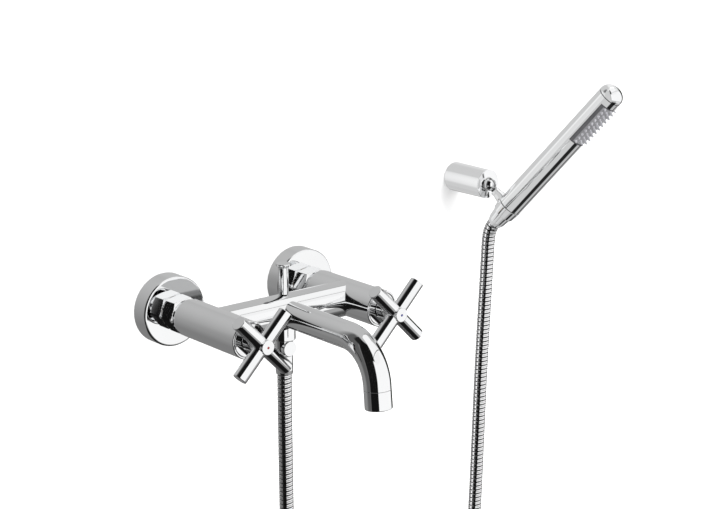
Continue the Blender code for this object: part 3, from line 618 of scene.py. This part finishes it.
def make_nut(side, at_wall):
    """The union nut: a hexagon cut back to a cone at both ends, with a bore that narrows towards the room."""
    shape = bmesh.new()
    matrix = placed(at_wall, OUT)
    flat = NUT_RADIUS * math.cos(math.pi / 6)
    heights = [NUT_BACK_OUT, *[NUT_BACK_OUT + 0.0001 + i * 0.0002 for i in range(9)],
               *[NUT_FRONT_OUT - 0.0017 + i * 0.0002 for i in range(9)], NUT_FRONT_OUT]
    turns = 180
    rings = []
    for height in heights:
        cone = flat - 0.0004 + min(height - NUT_BACK_OUT, NUT_FRONT_OUT - height) * 1.5
        ring = []
        for i in range(turns):
            angle = math.tau * i / turns
            hexagon = flat / math.cos(((angle - NUT_TURN) % (math.pi / 3)) - math.pi / 6)
            ring.append(shape.verts.new(matrix @ turned(angle, min(hexagon, cone), height)))
        rings.append(ring)
    back, front = (ring_of(shape, radius, height, turns, matrix)
                   for radius, height in ((0.0136, NUT_BACK_OUT), (0.0115, NUT_FRONT_OUT)))
    skinned(shape, [back, *rings, front])
    settle(weighted(object_from(f"{side}_nut", shape, CHROME, 22)), "mixer", "chrome", f"{side}_union_nut")


def make_mixer_body():
    """One casting: two barrels, the crossbar between them and the neck under it."""
    parts = []
    for x in (-INLET_X, INLET_X):
        parts.append(([
            (0, BARREL_FRONT_OUT - 0.0070), (0.0153, BARREL_FRONT_OUT - 0.0070),
            (0.0153, BARREL_FRONT_OUT, 0.0003), (BARREL_RADIUS, BARREL_FRONT_OUT, 0.0016),
            (BARREL_RADIUS, BARREL_BACK_OUT, 0.0011), (0.0110, BARREL_BACK_OUT), (0.0110, 0.0319),
            (0.0130, 0.0319), (0.0130, 0.0296), (0, 0.0296),
        ], Vector((x, 0, 0)), OUT))
    parts.append((rod(CROSSBAR_RADIUS, INLET_X, -INLET_X), CROSSBAR_CENTRE, ACROSS))
    parts.append((rod(NECK_RADIUS, -0.0050, NECK_BOTTOM, 0, 0.0008), CROSSBAR_CENTRE, UP))
    lathe("mixer_casting", CHROME, parts, "mixer", "chrome", "mixer_body", steps=144)


def make_handle(side, at_wall, enamel):
    """The ring in the barrel's front end, and the cross handle with its cap and coloured dot."""
    lathe(f"{side}_bonnet_ring", CHROME, [([
        (0.0149, BARREL_FRONT_OUT - 0.0004, 0.0005), (0.0149, BARREL_FRONT_OUT - 0.0066),
        (0.0084, BARREL_FRONT_OUT - 0.0066), (0.0084, BARREL_FRONT_OUT - 0.0004, 0.0003),
    ], at_wall, OUT)], "mixer", "chrome", f"{side}_bonnet")

    centre = at_wall + OUT * HANDLE_OUT
    parts = [([
        (0, CAP_SEAT_OUT), (0.0070, CAP_SEAT_OUT, 0.0003), (0.0070, HANDLE_OUT - 0.0040, 0.0020),
        (0.0078, HANDLE_OUT - 0.0075, 0.0020), (0.0078, BARREL_FRONT_OUT - 0.0050),
        (0, BARREL_FRONT_OUT - 0.0050),
    ], at_wall, OUT)]
    # The second bar is a hair thinner, so that the two have no surface in common where they cross.
    for i in range(2):
        angle = math.radians(45 + 90 * i)
        bar = rod(SPOKE_RADIUS - 0.0001 * i, SPOKE_REACH, -SPOKE_REACH, 0.0007, 0.0007)
        parts.append((bar, centre, Vector((math.cos(angle), 0, math.sin(angle)))))
    lathe(f"{side}_handle_cross", CHROME, parts, f"{side}_handle", "chrome", f"{side}_cross_handle")

    lathe(f"{side}_cap", CHROME, [([
        (0, HUB_FRONT_OUT - 0.0001), (0.0011, HUB_FRONT_OUT - 0.0001), (0.0012, HUB_FRONT_OUT, 0.00005),
        (0.0066, HUB_FRONT_OUT, 0.0006), (0.0066, CAP_SEAT_OUT + GAP), (0.0042, CAP_SEAT_OUT + GAP),
        (0.0042, HUB_FRONT_OUT - 0.0050), (0, HUB_FRONT_OUT - 0.0050),
    ], at_wall, OUT)], f"{side}_handle", "chrome", f"{side}_index_cap")
    lathe(f"{side}_dot", enamel, [([
        (0, HUB_FRONT_OUT + 0.00012), (0.0007, HUB_FRONT_OUT + 0.00008), (0.0011, HUB_FRONT_OUT - 0.00005),
        (0.0011, HUB_FRONT_OUT - 0.0003), (0, HUB_FRONT_OUT - 0.0003),
    ], at_wall, OUT)], f"{side}_handle", "chrome", steps=32)


def make_diverter():
    """The pull knob and the brass stem that it sits on."""
    lathe("diverter_pull", CHROME, [([
        (0, KNOB_TOP), (KNOB_CAP_RADIUS, KNOB_TOP, 0.0006),
        (KNOB_CAP_RADIUS - 0.0002, KNOB_TOP - 0.0020, 0.0005), (KNOB_RADIUS, KNOB_TOP - 0.0034, 0.0012),
        (KNOB_RADIUS, KNOB_BOTTOM - 0.0006, 0.0002), (0.0028, KNOB_BOTTOM - 0.0006),
        (0.0028, KNOB_BOTTOM + 0.0130), (0, KNOB_BOTTOM + 0.0130),
    ], CROSSBAR_CENTRE, UP)], "diverter", "chrome", "diverter_knob")
    lathe("diverter_stem", BRASS, [(rod(STEM_RADIUS, STEM_TOP, STEM_BOTTOM), CROSSBAR_CENTRE, UP)],
          "diverter", "brass", "diverter_rod", steps=32)


def make_spring():
    """The diverter's spring inside the crossbar, made as a still coil, though the rising piston flattens the
    real one against its bush.
    """
    curve = bpy.data.curves.new("diverter_coil", "CURVE")
    curve.dimensions = "3D"
    curve.bevel_depth = SPRING_WIRE
    curve.bevel_resolution = 2
    curve.use_fill_caps = True
    steps_a_turn = 24
    steps = SPRING_TURNS * steps_a_turn
    line = curve.splines.new("POLY")
    line.points.add(steps)
    for step, point in enumerate(line.points):
        height = SPRING_FOOT + (SPRING_HEAD - SPRING_FOOT) * step / steps
        point.co = (*(CROSSBAR_CENTRE + turned(math.tau * step / steps_a_turn, SPRING_RADIUS, height)), 1)
    drawn = shown("diverter_coil_line", curve)
    bpy.context.view_layer.update()
    mesh = bpy.data.meshes.new_from_object(drawn.evaluated_get(bpy.context.evaluated_depsgraph_get()))
    bpy.data.objects.remove(drawn, do_unlink=True)
    mesh.materials.clear()
    mesh.materials.append(STEEL)
    coil = shown("diverter_coil", mesh)
    settle(coil, "mixer", "steel", "diverter_spring")
    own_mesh(coil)


def spout_path():
    """Centre line of the spout from inside the crossbar to its mouth, with each point's direction."""
    path = [(OUT * (CROSSBAR_OUT + 0.0040), OUT), (OUT * SPOUT_BEND_OUT * 0.75, OUT)]
    steps = 48
    for i in range(steps + 1):
        angle = SPOUT_BEND_ANGLE * i / steps
        point = Vector((0, -SPOUT_BEND_OUT - SPOUT_BEND_RADIUS * math.sin(angle),
                        -SPOUT_BEND_RADIUS * (1 - math.cos(angle))))
        path.append((point, Vector((0, -math.cos(angle), -math.sin(angle)))))
    point, direction = path[-1]
    path.append((point + direction * SPOUT_TAIL, direction))
    return path


def make_spout():
    path = spout_path()
    shape = bmesh.new()
    steps = 96
    rings = []
    for radius, way in ((SPOUT_RADIUS, path), (SPOUT_BORE, path[::-1])):
        for point, direction in way:
            up = ACROSS.cross(direction)
            rings.append([
                shape.verts.new(point + (ACROSS * math.cos(math.tau * i / steps)
                                         + up * math.sin(math.tau * i / steps)) * radius)
                for i in range(steps)
            ])
    skinned(shape, rings)
    settle(weighted(object_from("spout", shape, CHROME)), "mixer", "chrome", "spout_tube")
    make_aerator(*path[-1])


def make_aerator(mouth, axis):
    """The sleeve at the spout's mouth, and in it a disc with rings and spokes."""
    end = AERATOR_LENGTH
    lathe("aerator_sleeve", CHROME, [([
        (0.0098, GAP), (0.0098, end, 0.0002), (SPOUT_RADIUS, end, 0.0009), (SPOUT_RADIUS, GAP, 0.00025),
    ], mouth, axis)], "mixer", "chrome", "aerator_housing")
    core = [(rod(0.0091, end - 0.0012, end - 0.0110, 0.0003), mouth, axis)]
    ridge = 0.0002
    for radius in (0.0022, 0.0044, 0.0066, 0.0085):
        core.append(([(radius - ridge, end - 0.0014), (radius - ridge, end - 0.0006),
                      (radius + ridge, end - 0.0006), (radius + ridge, end - 0.0014)], mouth, axis))
    grid = lathe("aerator_core", WHITE_PLASTIC, core, "mixer", "white_plastic", "aerator_insert", steps=48)
    spokes = bmesh.new()
    spokes.from_mesh(grid.data)
    count = 12
    for i in range(count):
        turn = Matrix.Rotation(math.tau * i / count, 4, "Z") @ Matrix.Translation((0.0044, 0, end - 0.0010))
        block(spokes, (0.0085, 0.0004, 0.0008), placed(mouth, axis) @ turn)
    spokes.to_mesh(grid.data)
    spokes.free()


def make_outlet():
    """The elbow under the crossbar, its flat round plug towards the room, and the hose's nut."""
    level = CROSSBAR_CENTRE + UP * OUTLET_LEVEL
    top = NECK_BOTTOM - GAP
    lathe("outlet_elbow", CHROME, [
        (rod(0.0083, top, -0.0397, 0.0004, 0.0006), CROSSBAR_CENTRE, UP),
        (rod(0.0064, -0.0380, -0.0520), CROSSBAR_CENTRE, UP),
        (rod(OUTLET_TUBE_RADIUS, OUTLET_HALF_LENGTH - 0.0010, -OUTLET_HALF_LENGTH, 0.0003, 0.0008),
         level, OUT),
    ], "mixer", "chrome", "outlet_body")
    lathe("outlet_front_plug", CHROME, [([
        (0, OUTLET_HALF_LENGTH), (OUTLET_TUBE_RADIUS, OUTLET_HALF_LENGTH, 0.0003),
        (OUTLET_TUBE_RADIUS, OUTLET_HALF_LENGTH - 0.0007), (0.0046, OUTLET_HALF_LENGTH - 0.0007),
        (0.0046, 0.0046), (0, 0.0046),
    ], level, OUT)], "mixer", "chrome", "outlet_plug")
    lathe("hose_union_nut", CHROME, [([
        (0.0067, HOSE_NUT_TOP), (HOSE_NUT_RADIUS, HOSE_NUT_TOP, 0.0005),
        (HOSE_NUT_RADIUS, HOSE_NUT_BOTTOM + 0.0040, 0.0010),
        (HOSE_NUT_RADIUS - 0.0004, HOSE_NUT_BOTTOM, 0.0006), (0.0045, HOSE_NUT_BOTTOM),
        (0.0045, HOSE_NUT_BOTTOM + 0.0035), (0.0067, HOSE_NUT_BOTTOM + 0.0035),
    ], CROSSBAR_CENTRE, UP)], "mixer", "chrome", "hose_nut")


# The hand shower and its holder.

def make_cone_nut():
    lathe("hose_cone_nut", CHROME, [([
        (0.0110, -0.0004, 0.0003), (0.0103, CUP_BOTTOM, 0.0050), (0.0090, -0.0225, 0.0080),
        (0.0073, CONE_END, 0.0006), (0.0054, CONE_END), (0.0054, -0.0132), (0.0082, -0.0132),
        (0.0082, -0.0004),
    ], SEAM, STICK)], "handset", "chrome", "cone_nut")


def shell(shape, outer, inner, heights, angles, matrix, hole=None, around=False):
    """Adds a thick tube wall over the given heights and angles, less the cells that hole picks out."""
    columns = len(angles)
    grid = {}
    for i, angle in enumerate(angles):
        for j, height in enumerate(heights):
            for k, radius in enumerate((outer, inner)):
                grid[i, j, k] = shape.verts.new(matrix @ turned(angle, radius, height))
    cells = columns if around else columns - 1
    kept = {(i, j) for i in range(cells) for j in range(len(heights) - 1) if not (hole and hole(i, j))}

    def wall(a, b):
        shape.faces.new((grid[(*a, 0)], grid[(*b, 0)], grid[(*b, 1)], grid[(*a, 1)]))

    for i, j in kept:
        n = (i + 1) % columns
        shape.faces.new([grid[p] for p in ((i, j, 0), (n, j, 0), (n, j + 1, 0), (i, j + 1, 0))])
        shape.faces.new([grid[p] for p in ((i, j, 1), (i, j + 1, 1), (n, j + 1, 1), (n, j, 1))])
        left, right = ((i - 1) % columns, (i + 1) % columns) if around else (i - 1, i + 1)
        if (left, j) not in kept:
            wall((i, j), (i, j + 1))
        if (right, j) not in kept:
            wall((n, j), (n, j + 1))
        if (i, j - 1) not in kept:
            wall((i, j), (n, j))
        if (i, j + 1) not in kept:
            wall((i, j + 1), (n, j + 1))


def make_stick(matrix):
    """The hand shower's tube with the window for its spray plate."""
    in_window, round_back = 52, 92
    angles = [WINDOW_HALF_ANGLE * (2 * i / in_window - 1) for i in range(in_window)]
    rest = math.tau - 2 * WINDOW_HALF_ANGLE
    angles += [WINDOW_HALF_ANGLE + rest * i / round_back for i in range(round_back)]
    heights = [0, 0.0004, 0.05, WINDOW_START - 0.0006, WINDOW_START, WINDOW_END, WINDOW_END + 0.0006,
               STICK_LENGTH - 0.0004, STICK_LENGTH]
    window = heights.index(WINDOW_START)
    shape = bmesh.new()
    shell(shape, STICK_RADIUS, STICK_BORE, heights, angles, matrix,
          hole=lambda i, j: i < in_window and j == window, around=True)
    settle(weighted(object_from("handset_body", shape, CHROME)), "handset", "chrome", "handset_tube")


def make_spray_plate(matrix):
    """The curved grey plate in the window, with a darker rim."""
    shape = bmesh.new()
    margin, count = 6, 48
    half = WINDOW_HALF_ANGLE - GAP / STICK_BORE
    angles = [half * (2 * i / count - 1) for i in range(count + 1)]
    heights = [WINDOW_START + GAP, WINDOW_START + 0.0016, WINDOW_END - 0.0016, WINDOW_END - GAP]
    shell(shape, STICK_RADIUS - 0.0003, STICK_BORE + 0.0002, heights, angles, matrix)
    inverse = matrix.inverted()
    for face in shape.faces:
        spot = inverse @ face.calc_center_median()
        angle = math.atan2(spot.y, spot.x)
        rim = abs(angle) > half * (1 - 2 * margin / count) or spot.z < heights[1] or spot.z > heights[2]
        face.material_index = 1 if rim else 0
    plate = object_from("spray_face", shape, [FACE_GREY, EDGE_GREY])
    settle(plate, "handset", "grey_plastic", "spray_plate")


def make_nozzles(matrix):
    """Rows of ten and nine soft nozzles, set between each other, each a cone with a hollow tip."""
    shape = bmesh.new()
    for column, degrees in enumerate(NOZZLE_COLUMNS):
        between = column % 2
        for row in range(10 - between):
            height = FIRST_NOZZLE + NOZZLE_PITCH * (row + 0.5 * between)
            turn = Matrix.Rotation(math.radians(degrees), 4, "Z")
            foot = matrix @ turn @ Matrix.Translation((STICK_RADIUS - 0.0006, 0, height))
            revolve(shape, [
                (0, 0.0027), (0.00032, 0.0027, 0.0001), (0.00036, 0.0031, 0.0001),
                (0.00062, 0.0031, 0.0002), (0.00100, 0.0008, 0.0004), (0.00130, 0.0003), (0, 0.0003),
            ], 14, foot @ Matrix.Rotation(math.pi / 2, 4, "Y"))
    settle(object_from("spray_nozzles", shape, NOZZLE, 40), "handset", "grey_plastic")


def make_dome():
    foot = STICK_LENGTH + GAP
    rise, steps = 0.0008, 24
    dome = [(0, foot + CAP_HEIGHT)]
    for i in range(1, steps + 1):
        angle = math.pi / 2 * i / steps
        dome.append((STICK_RADIUS * math.sin(angle), foot + rise + (CAP_HEIGHT - rise) * math.cos(angle)))
    dome += [(STICK_RADIUS, foot + 0.0005), (STICK_RADIUS - 0.0006, foot), (0, foot)]
    lathe("handset_dome", CHROME, [(dome, SEAM, STICK)], "handset", "chrome", "handset_end_cap")


def make_holder_base():
    """The sleeve, and inside it the boss and its screw in the wall."""
    lathe("holder_cover", CHROME, [([
        (SLEEVE_RADIUS, SLEEVE_OUT, 0.0007), (SLEEVE_RADIUS, 0, 0.0002), (0.0130, 0, 0.0002),
        (0.0130, SLEEVE_OUT - 0.0020), (0.0064, SLEEVE_OUT - 0.0020), (0.0068, SLEEVE_OUT, 0.0003),
    ], HOLDER_AT_WALL, OUT)], "mixer", "chrome", "holder_sleeve")
    lathe("holder_wall_boss", BRASS, [([
        (0.0125, 0.0080, 0.0005), (0.0125, 0, 0.0003), (0.0025, 0), (0.0025, 0.0080),
    ], HOLDER_AT_WALL, OUT)], "mixer", "brass", "holder_boss", steps=64)
    screw = [(0, 0.0110), (0.0045, 0.0110, 0.0010), (0.0045, 0.0083), (0.0021, 0.0083)]
    for i in range(12):
        height = 0.0075 - i * 0.0017
        screw += [(0.0016, height), (0.0016, height - 0.0005), (0.0021, height - 0.0009)]
    screw += [(0.0010, -0.0145), (0, -0.0160)]
    lathe("holder_wall_screw", STEEL, [(screw, HOLDER_AT_WALL, OUT)], "mixer", "steel", "holder_screw",
          steps=32)


def make_ball():
    """The ball in the sleeve's mouth, less the slot for the arm's tongue and the room for its round end."""
    shape = bmesh.new()
    bmesh.ops.create_uvsphere(shape, u_segments=64, v_segments=32, radius=BALL_RADIUS)
    bmesh.ops.transform(shape, matrix=placed(BALL_CENTRE, PIN_AXIS), verts=shape.verts)
    ball = object_from("holder_ball", shape, CHROME)
    shape = bmesh.new()
    block(shape, (0.0046, 0.0300, 0.0200), placed(BALL_CENTRE + HEADING * 0.0070, HEADING, PIN_AXIS))
    slot_cutter = object_from("slot_cutter", shape, CHROME)
    room = rod(0.0048, 0.0023, -0.0023)
    room_cutter = turned_object("room_cutter", room, 48, placed(BALL_CENTRE, PIN_AXIS))
    carved(ball, [slot_cutter, room_cutter])
    settle(ball, "swivel", "chrome", "swivel_ball")


def make_arm():
    """The neck, cut to the hand shower's seat, its cup, and the web and tongue that reach into the ball."""
    to_cup = ARM_AIM - BALL_CENTRE
    neck = turned_object("holder_neck", [
        (0, to_cup.length), (0.0061, to_cup.length), (0.0060, 0.0172, 0.0040), (0.0056, 0.0148, 0.0040),
        (0.0050, 0.0120, 0.0060), (0.0046, 0.0078, 0.0006), (0, 0.0078),
    ], 64, placed(BALL_CENTRE, to_cup))
    bore = rod(0.0112, 0.0200, -0.0200)
    carved(neck, [turned_object("bore_cutter", bore, 96, placed(SEAM, STICK))])
    settle(neck, "arm", "chrome", "holder_arm")
    lathe("holder_cup", CHROME, [
        ([(0.0128, CUP_TOP, 0.0003), (0.0117, CUP_BOTTOM, 0.0006), (0.0107, CUP_BOTTOM), (0.0114, CUP_TOP)],
         SEAM, STICK),
    ], "arm", "chrome")
    lathe("holder_tongue", CHROME, [
        (rod(0.0045, 0.0020, -0.0020, 0.0003, 0.0003), BALL_CENTRE, PIN_AXIS),
    ], "arm", "chrome", steps=64)
    shape = bmesh.new()
    block(shape, (0.0040, 0.0050, 0.0100),
          placed(BALL_CENTRE + to_cup.normalized() * 0.0055, to_cup, PIN_AXIS))
    settle(object_from("holder_web", shape, CHROME), "arm", "chrome")


for side_name, side_x, dot in (("hot", -INLET_X, RED), ("cold", INLET_X, BLUE)):
    inlet = Vector((side_x, 0, 0))
    make_flange(side_name, inlet)
    make_union(side_name, inlet)
    make_nut(side_name, inlet)
    make_handle(side_name, inlet, dot)
make_mixer_body()
make_diverter()
make_spring()
make_spout()
make_outlet()
make_cone_nut()
at_stick = placed(SEAM, STICK, SPRAY_FACING)
make_stick(at_stick)
make_spray_plate(at_stick)
make_nozzles(at_stick)
make_dome()
make_holder_base()
make_ball()
make_arm()


# The studio.

def stage_plane(name, width, height, centre, normal, look, up=UP):
    """A flat piece of the stage that faces along normal."""
    mesh = bpy.data.meshes.new(name)
    corners = [(x * width / 2, y * height / 2, 0) for x, y in ((-1, -1), (1, -1), (1, 1), (-1, 1))]
    mesh.from_pydata(corners, [], [(0, 1, 2, 3)])
    mesh.materials.append(look)
    obj = shown(name, mesh)
    obj.matrix_world = placed(centre, normal, up.cross(normal))
    return obj


def wall_material():
    """Pale matt paint that shows from the room and not from behind."""
    material, tree, shader, place = node_material("wall_paint", (0.86, 0.86, 0.86), 0.9)
    bumped(tree, shader, noise(tree, place, 60, 3), 0.0001, 0.2)
    clear = tree.nodes.new("ShaderNodeBsdfTransparent")
    behind = tree.nodes.new("ShaderNodeNewGeometry").outputs["Backfacing"]
    mix = tree.nodes.new("ShaderNodeMixShader")
    feed(mix, "Fac", behind)
    feed(mix, 1, shader.outputs["BSDF"])
    feed(mix, 2, clear.outputs["BSDF"])
    feed(tree.nodes["Material Output"], "Surface", mix.outputs["Shader"])
    return material


def make_wall_and_floor():
    paint = wall_material()
    wall = stage_plane("wall", 8, 5, Vector((0, 0.0004, 1.5)), OUT, paint)
    wall.visible_glossy = False
    floor = stage_plane("floor", 8, 5, Vector((0, -2.5, -1.0)), UP, paint, up=Vector((0, 1, 0)))
    floor.visible_glossy = False


def glossy_only(obj):
    """Leaves a stage piece to reflections alone."""
    obj.visible_camera = obj.visible_diffuse = obj.visible_shadow = obj.visible_transmission = False
    return obj


def make_key_light():
    """A soft lamp up in the room. Only the hand shower's side of the object casts its shadow."""
    azimuth, elevation, distance = math.radians(18), math.radians(24), 2.2
    way = Vector((math.sin(azimuth) * math.cos(elevation), -math.cos(azimuth) * math.cos(elevation),
                  math.sin(elevation)))
    data = bpy.data.lights.new("key", "AREA")
    data.shape = "SQUARE"
    data.size = 1.0
    data.energy = 42
    key = shown("key", data)
    key.location = Vector((0.1, -0.05, 0)) + way * distance
    key.rotation_euler = (-way).to_track_quat("-Z", "Y").to_euler()
    key.visible_glossy = False
    key.light_linking.blocker_collection = group_of("shadow_makers", "holder_", "handset_", "shower_hose")


# What reflections see round the room, each panel over the ones before it: lowest and highest azimuth,
# lowest and highest elevation, how bright, how soft its edges. Azimuth 0 is straight out of the wall
# and 90 is towards +X. The room behind them goes from its first brightness near the floor to its second.
ROOM_SHADES = 0.22, 0.52
ROOM = [
    (-180, 180, -90, -46, 0.07, 6),
    (-96, 58, -90, -34, 0.008, 1.2),
    (-134, -94, -26, 70, 0.11, 9),
    (-97, -34, -48, 74, 0.007, 1.5),
    (-60, -18, 36, 74, 0.007, 2),
    (-113, -90, 40, 74, 0.015, 3),
    (110, 154, -14, 66, 0.52, 4),
    (18, 62, -44, -20, 0.38, 3),
    (60, 128, -40, -18, 0.40, 4),
    (76, 97, -37, -10, 0.008, 2),
    (86, 115, -26, 25, 0.008, 3),
    (-34, 86, -24, 38, 1.02, 1.2),
    (-20, 86, 34, 50, 0.96, 2),
    (-16, 106, 48, 91, 1.0, 1.5),
    (106, 108.5, 30, 64, 0.2, 0.5),
]
# Across the pale panels runs one fine dark join, on the plane through the room's centre with this normal.
PANEL_JOIN = Vector((-0.226, 0.757, 0.613))
JOIN_HALF_WIDTH, JOIN_SHADE = 0.011, 0.12
# The same as ROOM for the extra light that only the hand shower and its holder reflect.
HOLDER_SHADES = 0.42, 0.12
HOLDER_ROOM = [
    (-142, -92, -24, 34, 0.68, 6),
    (-98, -34, -62, 80, 0.64, 4),
    (-34, 28, -91, -44, 0.01, 2),
    (34, 74, -76, -50, 0.50, 4),
    (76, 112, -64, -36, 0.03, 3),
    (98, 150, -40, -14, 0.14, 4),
    (-36, 112, -24, 91, 0.0, 3),
    (90, 140, 22, 75, 0.40, 8),
]


def calculated(tree, operation, *values):
    """A math node's result. Each value is a number or another node's output."""
    node = tree.nodes.new("ShaderNodeMath")
    node.operation = operation
    for socket, value in zip(node.inputs, values):
        if isinstance(value, (int, float)):
            socket.default_value = value
        else:
            tree.links.new(value, socket)
    return node.outputs[0]


def inside(tree, value, low, high, soft):
    """1 between low and high, falling to 0 over soft at either side."""
    rise = ranged(tree, value, 0, 1, low - soft, low + soft)
    fall = ranged(tree, value, 1, 0, high - soft, high + soft)
    return calculated(tree, "MULTIPLY", rise, fall)


def over(tree, below, mask, value):
    """The value laid over what is below it, as far as the mask lets it."""
    kept = calculated(tree, "MULTIPLY", below, calculated(tree, "SUBTRACT", 1.0, mask))
    return calculated(tree, "ADD", kept, calculated(tree, "MULTIPLY", mask, value))


def azimuth_and_elevation(tree, way):
    """The angles of a unit vector in degrees."""
    parts = tree.nodes.new("ShaderNodeSeparateXYZ")
    feed(parts, 0, way)
    x, y, z = parts.outputs
    turn = calculated(tree, "ARCTAN2", x, calculated(tree, "MULTIPLY", y, -1.0))
    return calculated(tree, "DEGREES", turn), calculated(tree, "DEGREES", calculated(tree, "ARCSINE", z))


def panelled(tree, way, shades, panels):
    """Brightness in the direction of a unit vector: two shades from low to high, under a list of panels."""
    azimuth, elevation = azimuth_and_elevation(tree, way)
    bright = ranged(tree, elevation, *shades, -30, 42)
    for low, high, bottom, top, value, soft in panels:
        mask = calculated(tree, "MULTIPLY", inside(tree, azimuth, low, high, soft),
                          inside(tree, elevation, bottom, top, soft))
        bright = over(tree, bright, mask, value)
    return bright, azimuth


def make_world():
    """Soft even light on everything, and for reflections a studio of white and black panels."""
    world = bpy.data.worlds.new("studio")
    world.use_nodes = True
    bpy.context.scene.world = world
    tree = world.node_tree
    nodes = tree.nodes
    nodes.clear()
    way = nodes.new("ShaderNodeTexCoord").outputs["Generated"]
    bright, azimuth = panelled(tree, way, ROOM_SHADES, ROOM)
    across = nodes.new("ShaderNodeVectorMath")
    across.operation = "DOT_PRODUCT"
    feed(across, 0, way)
    across.inputs[1].default_value = PANEL_JOIN
    line = inside(tree, across.outputs["Value"], -JOIN_HALF_WIDTH, JOIN_HALF_WIDTH, 0.005)
    line = calculated(tree, "MULTIPLY", line, inside(tree, azimuth, -20, 84, 1))
    seen = nodes.new("ShaderNodeBackground")
    feed(seen, "Strength", over(tree, bright, line, JOIN_SHADE))
    soft = nodes.new("ShaderNodeBackground")
    soft.inputs["Strength"].default_value = 1.15
    for shader in (seen, soft):
        shader.inputs["Color"].default_value = (1, 1, 1, 1)
    mix = nodes.new("ShaderNodeMixShader")
    feed(mix, "Fac", nodes.new("ShaderNodeLightPath").outputs["Is Glossy Ray"])
    feed(mix, 1, soft.outputs["Background"])
    feed(mix, 2, seen.outputs["Background"])
    feed(nodes.new("ShaderNodeOutputWorld"), "Surface", mix.outputs["Shader"])


def added_light_material(name):
    """Glow that adds to the room seen through it, and its tree and emission node."""
    material = bpy.data.materials.new(name)
    material.use_nodes = True
    tree = material.node_tree
    tree.nodes.remove(tree.nodes["Principled BSDF"])
    glow = tree.nodes.new("ShaderNodeEmission")
    both = tree.nodes.new("ShaderNodeAddShader")
    feed(both, 0, glow.outputs["Emission"])
    feed(both, 1, tree.nodes.new("ShaderNodeBsdfTransparent").outputs["BSDF"])
    feed(tree.nodes["Material Output"], "Surface", both.outputs["Shader"])
    return material, tree, glow


def holder_light_material():
    """The glow of HOLDER_ROOM on a sphere round the hand shower."""
    material, tree, glow = added_light_material("holder_light")
    way = tree.nodes.new("ShaderNodeVectorMath")
    way.operation = "NORMALIZE"
    feed(way, 0, tree.nodes.new("ShaderNodeTexCoord").outputs["Object"])
    bright = panelled(tree, way.outputs["Vector"], HOLDER_SHADES, HOLDER_ROOM)[0]
    feed(glow, "Strength", bright)
    return material


def group_of(name, *starts):
    """A collection, for lights to name, of the shown pieces whose names begin with one of starts."""
    group = bpy.data.collections.new(name)
    for obj in bpy.context.scene.objects:
        if obj.type == "MESH" and obj.name.startswith(starts):
            group.objects.link(obj)
    return group


def make_holder_light(group):
    """A dome round the hand shower, seen only in reflections on the group's pieces."""
    bpy.ops.mesh.primitive_uv_sphere_add(segments=32, ring_count=16, radius=5, location=(0.30, -0.15, 0.1))
    dome = bpy.context.object
    dome.name = "holder_light"
    dome.data.materials.append(holder_light_material())
    glossy_only(dome).light_linking.receiver_collection = group


def make_hose_light(group):
    """A pale card beside the hanging hose, seen only in reflections on its holder side."""
    material, tree, glow = added_light_material("hose_light")
    back = tree.nodes.new("ShaderNodeNewGeometry").outputs["Backfacing"]
    front = calculated(tree, "SUBTRACT", 1.0, back)
    feed(glow, "Strength", calculated(tree, "MULTIPLY", front, 0.95))
    card = stage_plane("hose_light", 0.040, 0.62, Vector((0.20, -0.020, -0.10)), ACROSS, material)
    glossy_only(card).light_linking.receiver_collection = group


make_wall_and_floor()
make_world()
# All of the holder but its ball, and all of the hand shower.
make_holder_light(group_of("hand_shower_side", "holder_cover", "holder_wall", "holder_neck", "holder_cup",
                           "holder_tongue", "holder_web", "handset_", "spray_", "hose_cone_nut"))
make_hose_light(group_of("hanging_hose", "shower_hose"))
make_key_light()
bpy.context.scene.view_settings.view_transform = "Standard"
